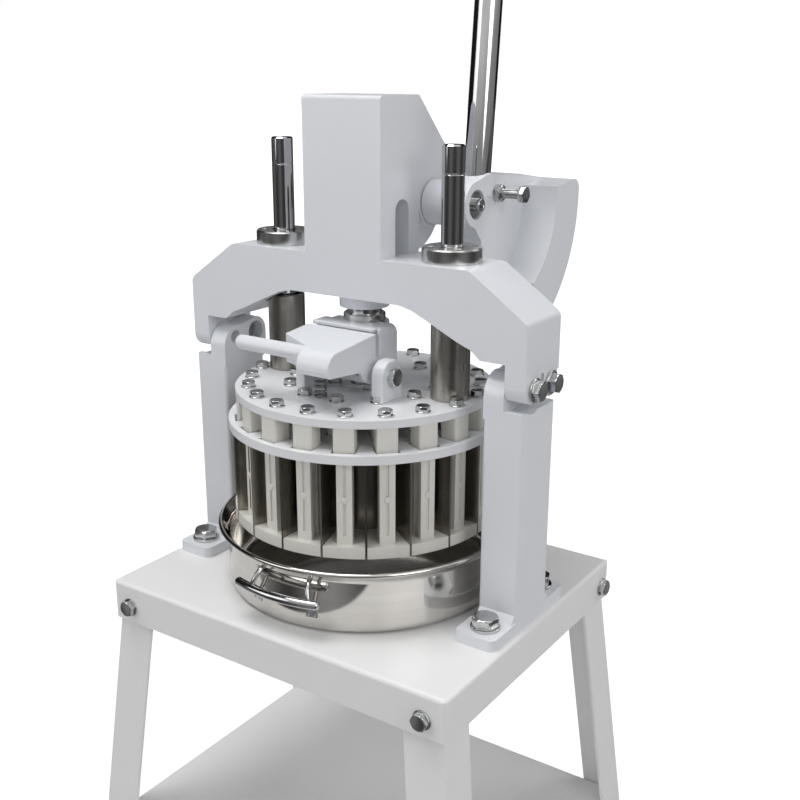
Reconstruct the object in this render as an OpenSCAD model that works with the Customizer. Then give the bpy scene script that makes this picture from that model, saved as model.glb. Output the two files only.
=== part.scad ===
// Hand operated dough divider on a table stand, modelled in millimetres.
// Origin: middle of the footprint on the floor. X to the right, Y to the back, Z up.
// All parts are drawn at rest: head raised, hand lever upright, pan on the table.

/* [Table] */
// Height of the table top above the floor
table_h = 620; // [600:1:700]
// Width of the table top
table_w = 430; // [424:1:440]
// Depth of the table top
table_d = 355; // [345:1:380]
// Height of the table flange
flange_h = 45; // [42:1:60]
// Thickness of the table sheet
sheet_t = 2.5; // [2:0.1:3]
// Radius of the bent sheet edges
bend_r = 5; // [4:0.5:8]
// Distance from the table top down to the shelf
shelf_drop = 309; // [250:1:360]
// Width of one leg angle
leg_w = 45; // [40:1:48]
// Thickness of one leg angle
leg_t = 4; // [3:0.5:5]
// Outward run of a leg in X for each millimetre down
leg_run_x = 0.113; // [0.1:0.001:0.13]
// Outward run of a leg in Y for each millimetre down
leg_run_y = 0.081; // [0.07:0.001:0.09]
// Thickness of the foot pads
pad_h = 6; // [4:1:10]

/* [Columns] */
// Inner side of a column from the middle
col_in = 165.6; // [165:0.1:168]
// Outer side of a column from the middle
col_out = 209; // [208:0.1:210]
// Front face of a column
col_front = -37; // [-40:0.5:-35]
// Back face of a column
col_back = 28; // [26:0.5:32]
// Height of the outer column block
saddle_z = 228; // [220:1:230]
// Height of the yoke pivot above the table
pivot_z = 249; // [248:0.5:251]
// Y of the rear pivot
pivot_y = 15; // [13:0.5:17]
// Y of the front lock bolt
lock_y = -19; // [-21:0.5:-17]
// Thickness of the column foot plate
foot_h = 12; // [10:1:14]

/* [Yoke and tower] */
// Height of the yoke top above the table
yoke_top = 358; // [356:0.5:362]
// Front face of the yoke and the tower
yoke_front = -38; // [-40:0.5:-37]
// Back face of the yoke
yoke_back = 32; // [31:0.5:36]
// Half width of the yoke
yoke_half = 209.6; // [209:0.1:211]
// Half width of the tower
tower_half = 47.3; // [46:0.1:49]
// Height of the tower top above the table
tower_top = 513; // [510:1:520]
// X of the guide rods
rod_x = 105.6; // [104:0.2:107]
// Diameter of the guide rods
rod_d = 22.6; // [20:0.2:24]
// Outside diameter of the guide tubes
tube_d = 40; // [38:0.5:41]
// Height of the guide tube tops above the table
tube_top = 303; // [295:1:306]
// Height of the guide rod tops above the table
rod_top = 469; // [455:1:475]

/* [Lever] */
// Y of the lever shaft
shaft_y = 55.6; // [55:0.1:58]
// Height of the lever shaft above the table
shaft_z = 406.5; // [404:0.5:410]
// Diameter of the lever shaft
shaft_d = 25; // [22:0.5:26]
// Gear module
gear_m = 4; // [4:0.1:4]
// Teeth of the pinion
gear_n = 22; // [22:1:22]
// Width of the pinion
gear_w = 30; // [26:1:32]
// Outer radius of the counterweight
weight_r = 153; // [148:0.5:156]
// Diameter of the lever rod
lever_d = 28; // [26:0.5:30]
// Length of the lever rod above its socket
lever_len = 520; // [450:5:600]
// Length of the hand grip
grip_len = 120; // [100:5:140]

/* [Head] */
// Diameter of the ram
ram_d = 36; // [35:0.5:37]
// Height of the ram top above the table
ram_top = 505; // [502:0.5:506]
// Radius of the presser disc
press_r = 137; // [136:0.5:139]
// Height of the presser disc top above the table
press_top = 219.3; // [218:0.1:220]
// Thickness of the presser disc
press_t = 8.5; // [7:0.5:10]
// Radius of the knife disc
knife_r = 145; // [144:0.5:147]
// Height of the knife disc top above the table
knife_top = 186.6; // [186:0.1:188]
// Thickness of the knife disc
knife_t = 9.2; // [8:0.1:10]
// Height of the blade edges above the table
blade_z = 78.6; // [78:0.1:80]
// Outer radius of the blades
blade_r = 142; // [141:0.5:143]
// Thickness of the blade sheet
blade_t = 1.5; // [1.2:0.1:2]
// Number of portions in the outer ring
n_out = 20; // [20:1:20]
// Number of portions in the middle ring
n_mid = 12; // [12:1:12]
// Number of portions in the centre
n_in = 4; // [4:1:4]
// Height of the presser feet
foot_t = 12; // [10:0.5:14]
// Underside of the crosshead above the table
cross_z = 242; // [241:0.5:244]
// Thickness of the crosshead plate
cross_t = 11.5; // [10:0.5:13]
// Height of the crosshead block top above the table
block_top = 289; // [286:0.5:290]

/* [Latch] */
// Y of the latch hinge
latch_y = -42.5; // [-44:0.5:-42]
// Height of the latch hinge above the table
latch_z = 243.6; // [243:0.2:245]

/* [Pan] */
// Outer radius of the pan rim
rim_r = 160.7; // [160:0.1:163]
// Outer radius of the pan wall
pan_r = 150.5; // [150:0.5:151.5]
// Height of the pan rim above the table
rim_z = 71; // [68:0.5:74]
// Thickness of the pan sheet
pan_t = 1.5; // [1.2:0.1:2]
// Thickness of the pan floor
pan_floor = 3; // [2:0.5:3.5]

/* [Hidden] */
$fn = 64;
e = 0.05;
leg_x0 = table_w / 2 - 9.5;
leg_y0 = table_d / 2 - 8.2;
leg_len = table_h + 30;
corner_x = leg_x0 + leg_run_x * table_h;
corner_y = leg_y0 + leg_run_y * table_h;
shelf_x = leg_x0 + leg_run_x * shelf_drop - leg_t - 0.4;
shelf_y = leg_y0 + leg_run_y * shelf_drop - leg_t - 0.8;
leg_bolt_z = -27;
leg_bolt_x = leg_x0 - 15.5;
leg_bolt_y = leg_y0 - 10.7;
col_mid = (col_in + col_out) / 2;
ear_out = 187;
bolt_front_y = -60;
bolt_rear_y = 52;
arch_z = yoke_top - 42;
ram_r = ram_d / 2;
ring_h = 14.5;
pitch_r = gear_m * gear_n / 2;
rack_y = shaft_y - pitch_r;
press_bot = press_top - press_t;
knife_bot = knife_top - knife_t;
ring_out_r = blade_r * sqrt((n_mid + n_in) / (n_out + n_mid + n_in));
ring_in_r = blade_r * sqrt(n_in / (n_out + n_mid + n_in));
bolt_out_r = 123;
bolt_mid_r = 79;
bolt_in_r = 32;
tie_x = bolt_mid_r * cos(15);
tie_y = bolt_mid_r * sin(15);
cross_half_y = 28;
latch_l = -23;
latch_r = 43;

// Move from table top coordinates to floor coordinates
module up() {
  translate([0, 0, table_h]) children();
}

// Extrude a Y-Z outline along X
module along_x(x0, x1) {
  translate([x0, 0, 0]) rotate([90, 0, 90]) linear_extrude(x1 - x0) children();
}

// Extrude an X-Z outline along Y
module along_y(y0, y1) {
  translate([0, y1, 0]) rotate([90, 0, 0]) linear_extrude(y1 - y0) children();
}

// Round bar along X
module bar_x(x0, x1, y, z, r) {
  translate([x0, y, z]) rotate([0, 90, 0]) cylinder(r = r, h = x1 - x0);
}

// Rectangle with round corners from corner to corner
module soft_rect(x0, y0, x1, y1, r) {
  translate([x0 + r, y0]) square([x1 - x0 - 2 * r, y1 - y0]);
  translate([x0, y0 + r]) square([x1 - x0, y1 - y0 - 2 * r]);
  for (x = [x0 + r, x1 - r]) {
    for (y = [y0 + r, y1 - r]) {
      translate([x, y]) circle(r = r, $fn = 48);
    }
  }
}

// Rectangle with only its two upper corners round
module arch_rect(half, z0, z1, r) {
  translate([-half, z0]) square([2 * half, z1 - z0 - r]);
  translate([-half + r, z0]) square([2 * half - 2 * r, z1 - z0]);
  for (x = [-half + r, half - r]) {
    translate([x, z1 - r]) circle(r = r, $fn = 48);
  }
}

// Box open below with rounded top edges and corners
module bent_box(hx, hy, h, t, r) {
  difference() {
    bent_block(hx, hy, h, r);
    translate([0, 0, -t]) bent_block(hx - t, hy - t, h + 1, r - t + 0.5);
  }
}

module bent_block(hx, hy, h, r) {
  intersection() {
    along_y(-hy, hy) arch_rect(hx, -h, 0, r);
    along_x(-hx, hx) arch_rect(hy, -h, 0, r);
    translate([0, 0, -h]) linear_extrude(h) soft_rect(-hx, -hy, hx, hy, r);
  }
}

// Hexagon prism with chamfered crown, base at z = 0
module hex(af, h) {
  intersection() {
    cylinder(r = af / 2 / cos(30), h = h, $fn = 6);
    cylinder(r1 = af / 2 / cos(30) + h * 0.8, r2 = af / 2 * 0.99, h = h);
  }
}

// Hexagon bolt standing on z = 0: washer, head, and a shank of length len below
module hex_bolt(d, af, head, washer, wt, len) {
  cylinder(r = washer / 2, h = wt);
  translate([0, 0, wt]) hex(af, head);
  translate([0, 0, -len]) cylinder(r = d / 2, h = len + wt);
}

// Points of an arc in a plane
function arc(cx, cy, r, a0, a1, n) =
  [for (i = [0:n]) [cx + r * cos(a0 + (a1 - a0) * i / n), cy + r * sin(a0 + (a1 - a0) * i / n)]];

// Table and legs
module table_plate() {
  color("white") up() difference() {
    bent_box(table_w / 2, table_d / 2, flange_h, sheet_t, bend_r);
    for (s = [-1, 1]) {
      for (y = [bolt_front_y, bolt_rear_y]) {
        translate([s * col_mid, y, -sheet_t - 1]) cylinder(r = 8.6, h = sheet_t + 2);
      }
      translate([s * leg_bolt_x, -table_d / 2 - 1, leg_bolt_z]) rotate([-90, 0, 0])
        cylinder(r = 5.3, h = sheet_t + 2);
      translate([s * (table_w / 2 - sheet_t / 2), leg_bolt_y, leg_bolt_z]) rotate([0, 90, 0])
        translate([0, 0, -sheet_t / 2 - 1]) cylinder(r = 5.3, h = sheet_t + 2);
    }
  }
}

module shelf_tray() {
  color("white") up() translate([0, 0, -shelf_drop])
    bent_box(shelf_x, shelf_y, 28, 1.5, 3);
}

// Leg with its outer corner line through the rear right corner
module leg() {
  intersection() {
    translate([leg_x0, leg_y0, table_h])
      rotate([atan(leg_run_y), -atan(leg_run_x * cos(atan(leg_run_y))), 0])
        translate([0, 0, -leg_len]) linear_extrude(leg_len + 20) difference() {
          translate([-leg_w, -leg_w]) square(leg_w);
          translate([-leg_w - 1, -leg_w - 1]) square(leg_w + 1 - leg_t);
        }
    translate([0, 0, pad_h]) cube([400, 400, table_h - sheet_t - pad_h]);
  }
}

module front_leg() {
  difference() {
    leg();
    up() translate([leg_bolt_x, table_d / 2 - 30, leg_bolt_z]) rotate([-90, 0, 0])
      cylinder(r = 5.3, h = 30);
  }
}

module rear_leg() {
  difference() {
    leg();
    up() bar_x(table_w / 2 - 30, table_w / 2, leg_bolt_y, leg_bolt_z, 5.3);
  }
}

module leg_front_left() {
  color("white") mirror([1, 0, 0]) mirror([0, 1, 0]) front_leg();
}

module leg_front_right() {
  color("white") mirror([0, 1, 0]) front_leg();
}

module leg_rear_left() {
  color("white") mirror([1, 0, 0]) rear_leg();
}

module leg_rear_right() {
  color("white") rear_leg();
}

module leg_bolts() {
  in_y = leg_y0 + leg_run_y * -leg_bolt_z - leg_t - 1.1;
  in_x = leg_x0 + leg_run_x * -leg_bolt_z - leg_t - 1.7;
  color("silver") up() for (s = [-1, 1]) {
    translate([s * leg_bolt_x, -table_d / 2, leg_bolt_z]) rotate([90, 0, 0]) {
      hex_bolt(10, 16, 6.4, 20, 1.6, table_d / 2 - in_y + 10);
      translate([0, 0, -(table_d / 2 - in_y) - 8]) hex(16, 8);
    }
    translate([s * table_w / 2, leg_bolt_y, leg_bolt_z]) rotate([0, s * 90, 0]) {
      hex_bolt(10, 16, 6.4, 20, 1.6, table_w / 2 - in_x + 10);
      translate([0, 0, -(table_w / 2 - in_x) - 8]) hex(16, 8);
    }
  }
}

module leg_pads() {
  color("dimgray") for (sx = [-1, 1]) {
    for (sy = [-1, 1]) {
      scale([sx, sy, 1]) linear_extrude(pad_h)
        soft_rect(corner_x - leg_w - 3, corner_y - leg_w - 3, corner_x + 2, corner_y + 2, 4);
    }
  }
}

// Columns
module column() {
  difference() {
    union() {
      linear_extrude(saddle_z) soft_rect(col_in, col_front, col_out, col_back, 4);
      linear_extrude(foot_h) soft_rect(col_in - 1.6, -82, col_out, 70, 8);
      along_x(col_in, ear_out) ear_outline();
      for (s = [0, 1]) {
        hull() {
          translate([col_in + 2, s == 0 ? col_front - 8 : col_back + 8, foot_h - 1])
            cube([col_out - col_in - 4, 0.5, 1]);
          translate([col_in + 2, s == 0 ? col_front : col_back - 0.5, foot_h - 1])
            cube([col_out - col_in - 4, 0.5, 9]);
        }
      }
    }
    bar_x(ear_out, col_out + 5, lock_y, pivot_z, 23.5);
    bar_x(col_in - 5, ear_out + 5, lock_y, pivot_z, 6.6);
    bar_x(col_in - 5, ear_out - 8, lock_y, pivot_z, 7.4);
    bar_x(col_in - 5, ear_out + 5, pivot_y, pivot_z, 12);
    for (y = [bolt_front_y, bolt_rear_y]) {
      translate([col_mid, y, -1]) cylinder(r = 8.6, h = foot_h + 20);
      translate([col_mid, y, foot_h]) cylinder(r = 16.5, h = 30);
    }
  }
}

module ear_outline() {
  translate([col_front, saddle_z - 10]) square([col_back - col_front, 10]);
  polygon(concat([[col_front, saddle_z - 2]],
    arc(col_front + 22, 240, 22, 180, 74, 14),
    arc(pivot_y, pivot_z, 17, 85, 0, 12),
    [[pivot_y + 17, saddle_z + 4], [col_back, saddle_z - 2]]));
}

module column_left() {
  color("white") up() mirror([1, 0, 0]) column();
}

module column_right() {
  color("white") up() column();
}

module column_bolts() {
  color("silver") up() for (s = [-1, 1]) {
    for (y = [bolt_front_y, bolt_rear_y]) {
      translate([s * col_mid, y, foot_h]) {
        hex_bolt(16, 24, 10, 30, 3, foot_h + sheet_t + 18);
        translate([0, 0, -foot_h - sheet_t - 3]) cylinder(r = 15, h = 3);
        translate([0, 0, -foot_h - sheet_t - 16]) hex(24, 13);
      }
    }
  }
}

module pivot_bolts() {
  color("silver") up() for (s = [-1, 1]) {
    scale([s, 1, 1]) translate([yoke_half, pivot_y, pivot_z]) rotate([0, 90, 0]) {
      hex_bolt(12, 18, 7.5, 24, 2.5, yoke_half - ear_out + 12);
      translate([0, 0, -(yoke_half - ear_out + 9)]) cylinder(r = 11.95, h = 9.4);
    }
  }
}

module lock_bolts() {
  color("silver") up() for (s = [-1, 1]) {
    scale([s, 1, 1]) translate([yoke_half, lock_y, pivot_z]) rotate([0, 90, 0])
      hex_bolt(12, 18, 7.5, 26, 2.5, yoke_half - ear_out + 8);
  }
}

// Yoke with tower and gear housing
module yoke_half_outline() {
  polygon(concat([[0, arch_z], [0, yoke_top]],
    arc(142.5, yoke_top - 15, 15, 90, 53, 5),
    arc(yoke_half - 10, 309.5, 10, 48, 0, 5),
    [[yoke_half, 262], [188, 262], [188, 274], [161, 274], [150.8, 282.7], [134.1, 289.1],
     [103.5, 303.5], [82.7, 312.7], [68.6, arch_z]]));
}

module arm_outline() {
  translate([yoke_front, 255]) square([32, 20]);
  translate([yoke_front + 16, 252]) circle(r = 16);
  translate([2, 259]) square([yoke_back - 2, 16]);
  translate([pivot_y, pivot_z]) circle(r = 14);
  translate([1, pivot_z]) square([28, 20]);
}

module tower_outline() {
  polygon(concat([[yoke_front, arch_z + 4]],
    arc(yoke_front + 4, tower_top - 4, 4, 180, 90, 4),
    arc(26, tower_top - 6, 6, 90, 45, 3),
    [[108, tower_top + 29 - 108], [108, shaft_z - 1.5], [30, shaft_z - 1.5], [30, arch_z + 4]]));
}

module yoke() {
  color("white") up() difference() {
    union() {
      along_y(yoke_front, yoke_back) yoke_half_outline();
      along_y(yoke_front, yoke_back) mirror([1, 0]) yoke_half_outline();
      for (s = [0, 1]) {
        mirror([s, 0, 0]) along_x(188, yoke_half) arm_outline();
      }
      along_x(-tower_half, tower_half) tower_outline();
      bar_x(-tower_half, tower_half, shaft_y, shaft_z, 26);
      bar_x(-gear_w / 2 - 8, gear_w / 2 + 8, shaft_y, shaft_z, pitch_r + gear_m + 6.5);
      translate([0, 0, yoke_top - 56]) cylinder(r = 26, h = 30);
    }
    translate([0, 0, yoke_top - 60]) cylinder(r = ram_r + 4, h = 62);
    translate([0, 0, yoke_top]) cylinder(r = ram_r + 2, h = tower_top - yoke_top - 4);
    bar_x(-gear_w / 2 - 3, gear_w / 2 + 3, shaft_y, shaft_z, pitch_r + gear_m + 2.5);
    bar_x(-tower_half - 1, tower_half + 1, shaft_y, shaft_z, shaft_d / 2 + 4.55);
    bar_x(-tower_half - 1, tower_half + 1, -0.6, 402, 12);
    along_x(-tower_half - 1, tower_half + 1) translate([-12.6, yoke_top]) square([24, 44]);
    for (s = [-1, 1]) {
      translate([s * rod_x, 0, 250]) cylinder(r = tube_d / 2 + 3, h = 75);
      translate([s * rod_x, 0, 250]) cylinder(r = rod_d / 2 + 1, h = 120);
      bar_x(s > 0 ? 180 : -220, s > 0 ? 220 : -180, lock_y, pivot_z, 6.2);
      bar_x(s > 0 ? 180 : -220, s > 0 ? 220 : -180, pivot_y, pivot_z, 6.2);
      bar_x(s > 0 ? 180 : -188.4, s > 0 ? 188.4 : -180, pivot_y, pivot_z, 12.1);
    }
  }
}

module guide_ring() {
  translate([0, 0, yoke_top]) difference() {
    union() {
      cylinder(r = 30, h = ring_h - 1);
      cylinder(r = 29, h = ring_h);
    }
    translate([0, 0, -1]) cylinder(r = rod_d / 2 + 0.06, h = ring_h + 2);
    translate([0, 0, ring_h - 1.5]) cylinder(r = rod_d / 2 + 2, h = 3);
    for (a = [45:90:315]) {
      rotate(a) translate([22, 0, ring_h - 5]) cylinder(r = 4.4, h = 6);
    }
  }
}

module guide_ring_left() {
  color("silver") up() translate([-rod_x, 0, 0]) guide_ring();
}

module guide_ring_right() {
  color("silver") up() translate([rod_x, 0, 0]) guide_ring();
}

module ram_bush() {
  color("goldenrod") up() translate([0, 0, yoke_top - 55.5]) difference() {
    cylinder(r = ram_r + 3.95, h = 55);
    translate([0, 0, -1]) cylinder(r = ram_r + 0.06, h = 60);
  }
}

module shaft_bushes() {
  color("goldenrod") up() for (s = [-1, 1]) {
    translate([s * (gear_w / 2 + 3 + (tower_half - gear_w / 2 - 3) / 2), shaft_y, shaft_z])
      rotate([0, 90, 0]) difference() {
        cylinder(r = shaft_d / 2 + 4.5, h = tower_half - gear_w / 2 - 3, center = true);
        cylinder(r = shaft_d / 2 + 0.06, h = 60, center = true);
      }
  }
}

// Lever group
module key_space(grow) {
  translate([-gear_w / 2 + 2 - grow, shaft_y - 4 - grow, shaft_z + shaft_d / 2 - 4 - grow])
    cube([gear_w - 4 + 2 * grow, 8 + 2 * grow, 7 + 2 * grow]);
}

module lever_shaft() {
  color("gray") up() difference() {
    union() {
      bar_x(-tower_half - 7, 96, shaft_y, shaft_z, shaft_d / 2);
      bar_x(-tower_half - 8, 96, shaft_y, shaft_z, shaft_d / 2 - 1);
    }
    key_space(0.03);
    bar_x(80, 100, shaft_y, shaft_z, 4.05);
  }
}

module shaft_key() {
  color("gray") up() key_space(0);
}

module shaft_collar() {
  color("gray") up() difference() {
    bar_x(-tower_half - 6.4, -tower_half - 0.4, shaft_y, shaft_z, 20);
    bar_x(-tower_half - 9, -tower_half + 1, shaft_y, shaft_z, shaft_d / 2 + 0.03);
  }
}

// One gear tooth as an outline about the gear centre, tip along +X
function tooth_pts() = let (q = 360 / gear_n / 4)
  [for (p = [[-1.25, 1.38], [-0.6, 1.22], [0, 0.94], [0.55, 0.62], [1, 0.3]])
    [pitch_r + gear_m * p[0], q * p[1]]];

module gear_outline() {
  circle(r = pitch_r - 1.2 * gear_m);
  for (i = [0:gear_n - 1]) {
    rotate((i + 0.5) * 360 / gear_n + 180) polygon(concat(
      [for (p = tooth_pts()) [p[0] * cos(p[1]), p[0] * sin(p[1])]],
      [for (k = [4:-1:0]) let (p = tooth_pts()[k]) [p[0] * cos(p[1]), -p[0] * sin(p[1])]]));
  }
}

module pinion() {
  color("gray") up() difference() {
    union() {
      along_x(-gear_w / 2, gear_w / 2) translate([shaft_y, shaft_z]) gear_outline();
    }
    bar_x(-gear_w, gear_w, shaft_y, shaft_z, shaft_d / 2 + 0.03);
    key_space(0.03);
  }
}

module weight_sector(r) {
  intersection() {
    circle(r = r, $fn = 120);
    polygon(concat([[0, 0]], arc(0, 0, 240, 7, -58, 12)));
  }
}

module hub_plate_outline() {
  translate([shaft_y, shaft_z]) circle(r = 23);
  translate([shaft_y, shaft_z]) weight_sector(weight_r);
  polygon([[shaft_y - 2, shaft_z + 22.9], [80, 436], [145, 431], [shaft_y + 140, shaft_z + 17.2],
    [shaft_y + 60, shaft_z - 80], [72, 335], [66.4, 351.6], [65.5, 369.2], [52.7, 383.4],
    [shaft_y - 12, shaft_z - 19.6], [shaft_y - 22, shaft_z + 6]]);
}

module in_lever() {
  translate([84, 82.3, 434.6]) rotate([-5, 0, 0]) children();
}

module lever_hub() {
  color("white") up() difference() {
    union() {
      bar_x(tower_half + 1.2, 100, shaft_y, shaft_z, 23);
      along_x(66, 100) hub_plate_outline();
      along_x(66, 140) translate([shaft_y, shaft_z]) difference() {
        weight_sector(weight_r);
        circle(r = 99, $fn = 96);
      }
      in_lever() translate([0, 0, -22]) cylinder(r = 18, h = 29);
    }
    bar_x(tower_half, 97, shaft_y, shaft_z, shaft_d / 2 + 0.03);
    bar_x(96, 101, shaft_y, shaft_z, 15);
    in_lever() translate([0, 0, -12.8]) cylinder(r = lever_d / 2 + 0.03, h = 60);
    bar_x(84, 101, 94.5, 415, 5.05);
    bar_x(100, 112, 94.5, 415, 10.5);
  }
}

module hub_screw() {
  color("silver") up() {
    bar_x(96, 98.2, shaft_y, shaft_z, 14);
    difference() {
      bar_x(98.2, 106, shaft_y, shaft_z, 6.5);
      translate([102.2, shaft_y, shaft_z]) rotate([0, 90, 0])
        cylinder(r = 3.5, h = 8, $fn = 6);
    }
    bar_x(82, 98.2, shaft_y, shaft_z, 4);
  }
}

module stop_bolt() {
  color("silver") up() translate([128, 94.5, 415]) rotate([0, 90, 0])
    hex_bolt(10, 16, 6.4, 13, 0.6, 43.5);
}

module stop_nut() {
  color("silver") up() difference() {
    translate([100, 94.5, 415]) rotate([0, 90, 0]) hex(16, 8);
    bar_x(99, 110, 94.5, 415, 5.03);
  }
}

module lever_rod() {
  color("silver") up() in_lever() {
    translate([0, 0, -12.7]) cylinder(r = lever_d / 2, h = lever_len + 12.7);
    translate([0, 0, lever_len]) cylinder(r = 9, h = grip_len - 14);
  }
}

module lever_grip() {
  color("dimgray") up() in_lever() translate([0, 0, lever_len]) difference() {
    rotate_extrude() polygon(concat([[0, 0], [15, 0], [16, 2]],
      arc(16 - 60, grip_len / 2 - 10, 61.5, -12, 12, 12),
      arc(0, grip_len - 16, 16, 0, 90, 12)));
    translate([0, 0, -1]) cylinder(r = 9.05, h = grip_len - 12.8);
  }
}

// Head with knives
module ram() {
  color("silver") up() difference() {
    union() {
      translate([0, 0, cross_z + 6]) cylinder(r = ram_r, h = ram_top - cross_z - 8);
      translate([0, 0, cross_z + 6]) cylinder(r = ram_r - 2, h = ram_top - cross_z - 6);
      translate([0, 0, knife_top]) cylinder(r = 13.5, h = cross_z + 8 - knife_top);
      translate([0, 0, knife_bot + 0.5]) cylinder(r = 8, h = knife_t);
    }
    translate([-ram_r - 1, rack_y + gear_m, shaft_z - 30]) cube([2 * ram_r + 2, 20, 130]);
    for (i = [-2:7]) {
      translate([0, 0, shaft_z + (i + 0.5) * PI * gear_m]) along_x(-ram_r - 1, ram_r + 1)
        polygon([[rack_y - 1.25 * gear_m, -0.66 * gear_m / 2 - 0.1],
          [rack_y - 1.25 * gear_m, 0.66 * gear_m / 2 + 0.1],
          [rack_y + gear_m + 0.1, PI * gear_m / 4 + gear_m * 0.364 + 0.2],
          [rack_y + gear_m + 0.1, -PI * gear_m / 4 - gear_m * 0.364 - 0.2]]);
    }
  }
}

module ram_collar() {
  color("silver") up() translate([0, 0, block_top]) difference() {
    cylinder(r = 22, h = 6);
    translate([0, 0, -1]) cylinder(r = ram_r + 0.03, h = 8);
    rotate([0, 90, 30]) translate([-3, 0, 15]) cylinder(r = 1.6, h = 10);
  }
}

module crosshead() {
  color("gray") up() difference() {
    union() {
      translate([0, 0, cross_z]) linear_extrude(cross_t) {
        soft_rect(-rod_x + 4, -cross_half_y, rod_x - 4, cross_half_y, 3);
        for (s = [-1, 1]) {
          translate([s * rod_x, 0]) circle(r = tube_d / 2 + 8);
        }
      }
      along_y(-25, 25) translate([-1, 0]) arch_rect(42, cross_z + 2, block_top, 9);
      translate([-21, latch_y + 3.2, 276]) cube([62, 18, 10]);
    }
    translate([0, 0, cross_z + 6]) cylinder(r = ram_r + 0.03, h = 60);
    translate([0, 0, cross_z - 1]) cylinder(r = 13.55, h = 20);
    for (s = [-1, 1]) {
      translate([s * rod_x, 0, cross_z - 1]) cylinder(r = tube_d / 2 + 1, h = 20);
      for (t = [-1, 1]) {
        translate([s * tie_x, t * tie_y, cross_z - 1]) cylinder(r = 4.5, h = 20);
      }
    }
    translate([52, 16, cross_z + 4]) cylinder(r = 3.05, h = 20);
    for (x = [-48, 48]) {
      translate([x, -cross_half_y - 1, cross_z - 1]) cube([18, 3.4, cross_t + 2]);
    }
  }
}

module oil_plug() {
  color("dimgray") up() translate([52, 16, cross_z + cross_t]) {
    cylinder(r = 5, h = 7);
    translate([0, 0, 7]) cylinder(r = 6.5, h = 4);
    translate([0, 0, -6]) cylinder(r = 3, h = 7);
  }
}

module guide_rod() {
  difference() {
    union() {
      translate([0, 0, knife_top]) cylinder(r = rod_d / 2, h = rod_top - knife_top - 1);
      translate([0, 0, knife_top]) cylinder(r = rod_d / 2 - 1, h = rod_top - knife_top);
      translate([0, 0, knife_bot + 0.5]) cylinder(r = 6, h = knife_t);
    }
    translate([0, 0, rod_top - 9]) difference() {
      cylinder(r = 20, h = 1.6);
      translate([0, 0, -1]) cylinder(r = rod_d / 2 - 1, h = 4);
    }
  }
}

module guide_rod_left() {
  color("silver") up() translate([-rod_x, 0, 0]) guide_rod();
}

module guide_rod_right() {
  color("silver") up() translate([rod_x, 0, 0]) guide_rod();
}

module window(r0, r1, w) {
  translate([r0, -w / 2]) square([r1 - r0, w]);
}

module knife_disc() {
  color("gainsboro") up() translate([0, 0, knife_bot]) linear_extrude(knife_t) difference() {
    circle(r = knife_r, $fn = 120);
    for (i = [0:n_out - 1]) {
      rotate((i + 0.5) * 360 / n_out) window(113, knife_r - 6.5, 24);
    }
    for (i = [0:n_mid - 1]) {
      rotate((i + 0.5) * 360 / n_mid) window(68, 90, 18);
    }
    for (i = [0:n_in - 1]) {
      rotate((i + 0.5) * 360 / n_in) window(22, 42, 18);
    }
    circle(r = 8.05);
    for (s = [-1, 1]) {
      translate([s * rod_x, 0]) circle(r = 6.05);
    }
  }
}

module ring_blades() {
  color("silver") up() translate([0, 0, blade_z]) linear_extrude(knife_bot - blade_z)
    for (r = [ring_out_r, ring_in_r]) {
      difference() {
        circle(r = r + blade_t / 2, $fn = 96);
        circle(r = r - blade_t / 2, $fn = 96);
      }
    }
}

module blades_outer() {
  color("silver") up() translate([0, 0, blade_z]) linear_extrude(knife_bot - blade_z)
    for (i = [0:n_out - 1]) {
      rotate(i * 360 / n_out) window(ring_out_r + blade_t / 2 + 0.02, blade_r, blade_t);
    }
}

module blades_middle() {
  color("silver") up() translate([0, 0, blade_z]) linear_extrude(knife_bot - blade_z)
    for (i = [0:n_mid - 1]) {
      rotate(i * 360 / n_mid)
        window(ring_in_r + blade_t / 2 + 0.02, ring_out_r - blade_t / 2 - 0.02, blade_t);
    }
}

module blades_inner() {
  color("silver") up() translate([0, 0, blade_z]) linear_extrude(knife_bot - blade_z)
    for (a = [0, 90]) {
      rotate(a) square([2 * ring_in_r - blade_t - 0.2, blade_t], center = true);
    }
}

// Presser
function out_bolt_r(i) = (i == 0 || i == n_out / 2 - 1 || i == n_out / 2 || i == n_out - 1)
  ? bolt_out_r + 5 : bolt_out_r;

module presser_disc() {
  color("gainsboro") up() translate([0, 0, press_bot]) linear_extrude(press_t) difference() {
    circle(r = press_r, $fn = 120);
    circle(r = 15);
    for (s = [-1, 1]) {
      translate([s * rod_x, 0]) circle(r = rod_d / 2 + 0.7);
    }
    for (i = [0:n_out - 1]) {
      rotate((i + 0.5) * 360 / n_out) translate([out_bolt_r(i), 0]) circle(r = 4.2);
    }
    for (i = [0:n_mid - 1]) {
      rotate((i + 0.5) * 360 / n_mid) translate([bolt_mid_r, 0]) circle(r = 4.2);
    }
    for (i = [0:n_in - 1]) {
      rotate((i + 0.5) * 360 / n_in) translate([bolt_in_r, 0]) circle(r = 4.2);
    }
  }
}

// Ring cut into equal feet that clear the blades
module feet(r0, r1, n) {
  linear_extrude(foot_t) difference() {
    circle(r = r1, $fn = 120);
    circle(r = r0, $fn = 96);
    for (i = [0:n - 1]) {
      rotate(i * 360 / n) window(-1, r1 + 5, blade_t + 0.8);
    }
  }
}

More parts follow.
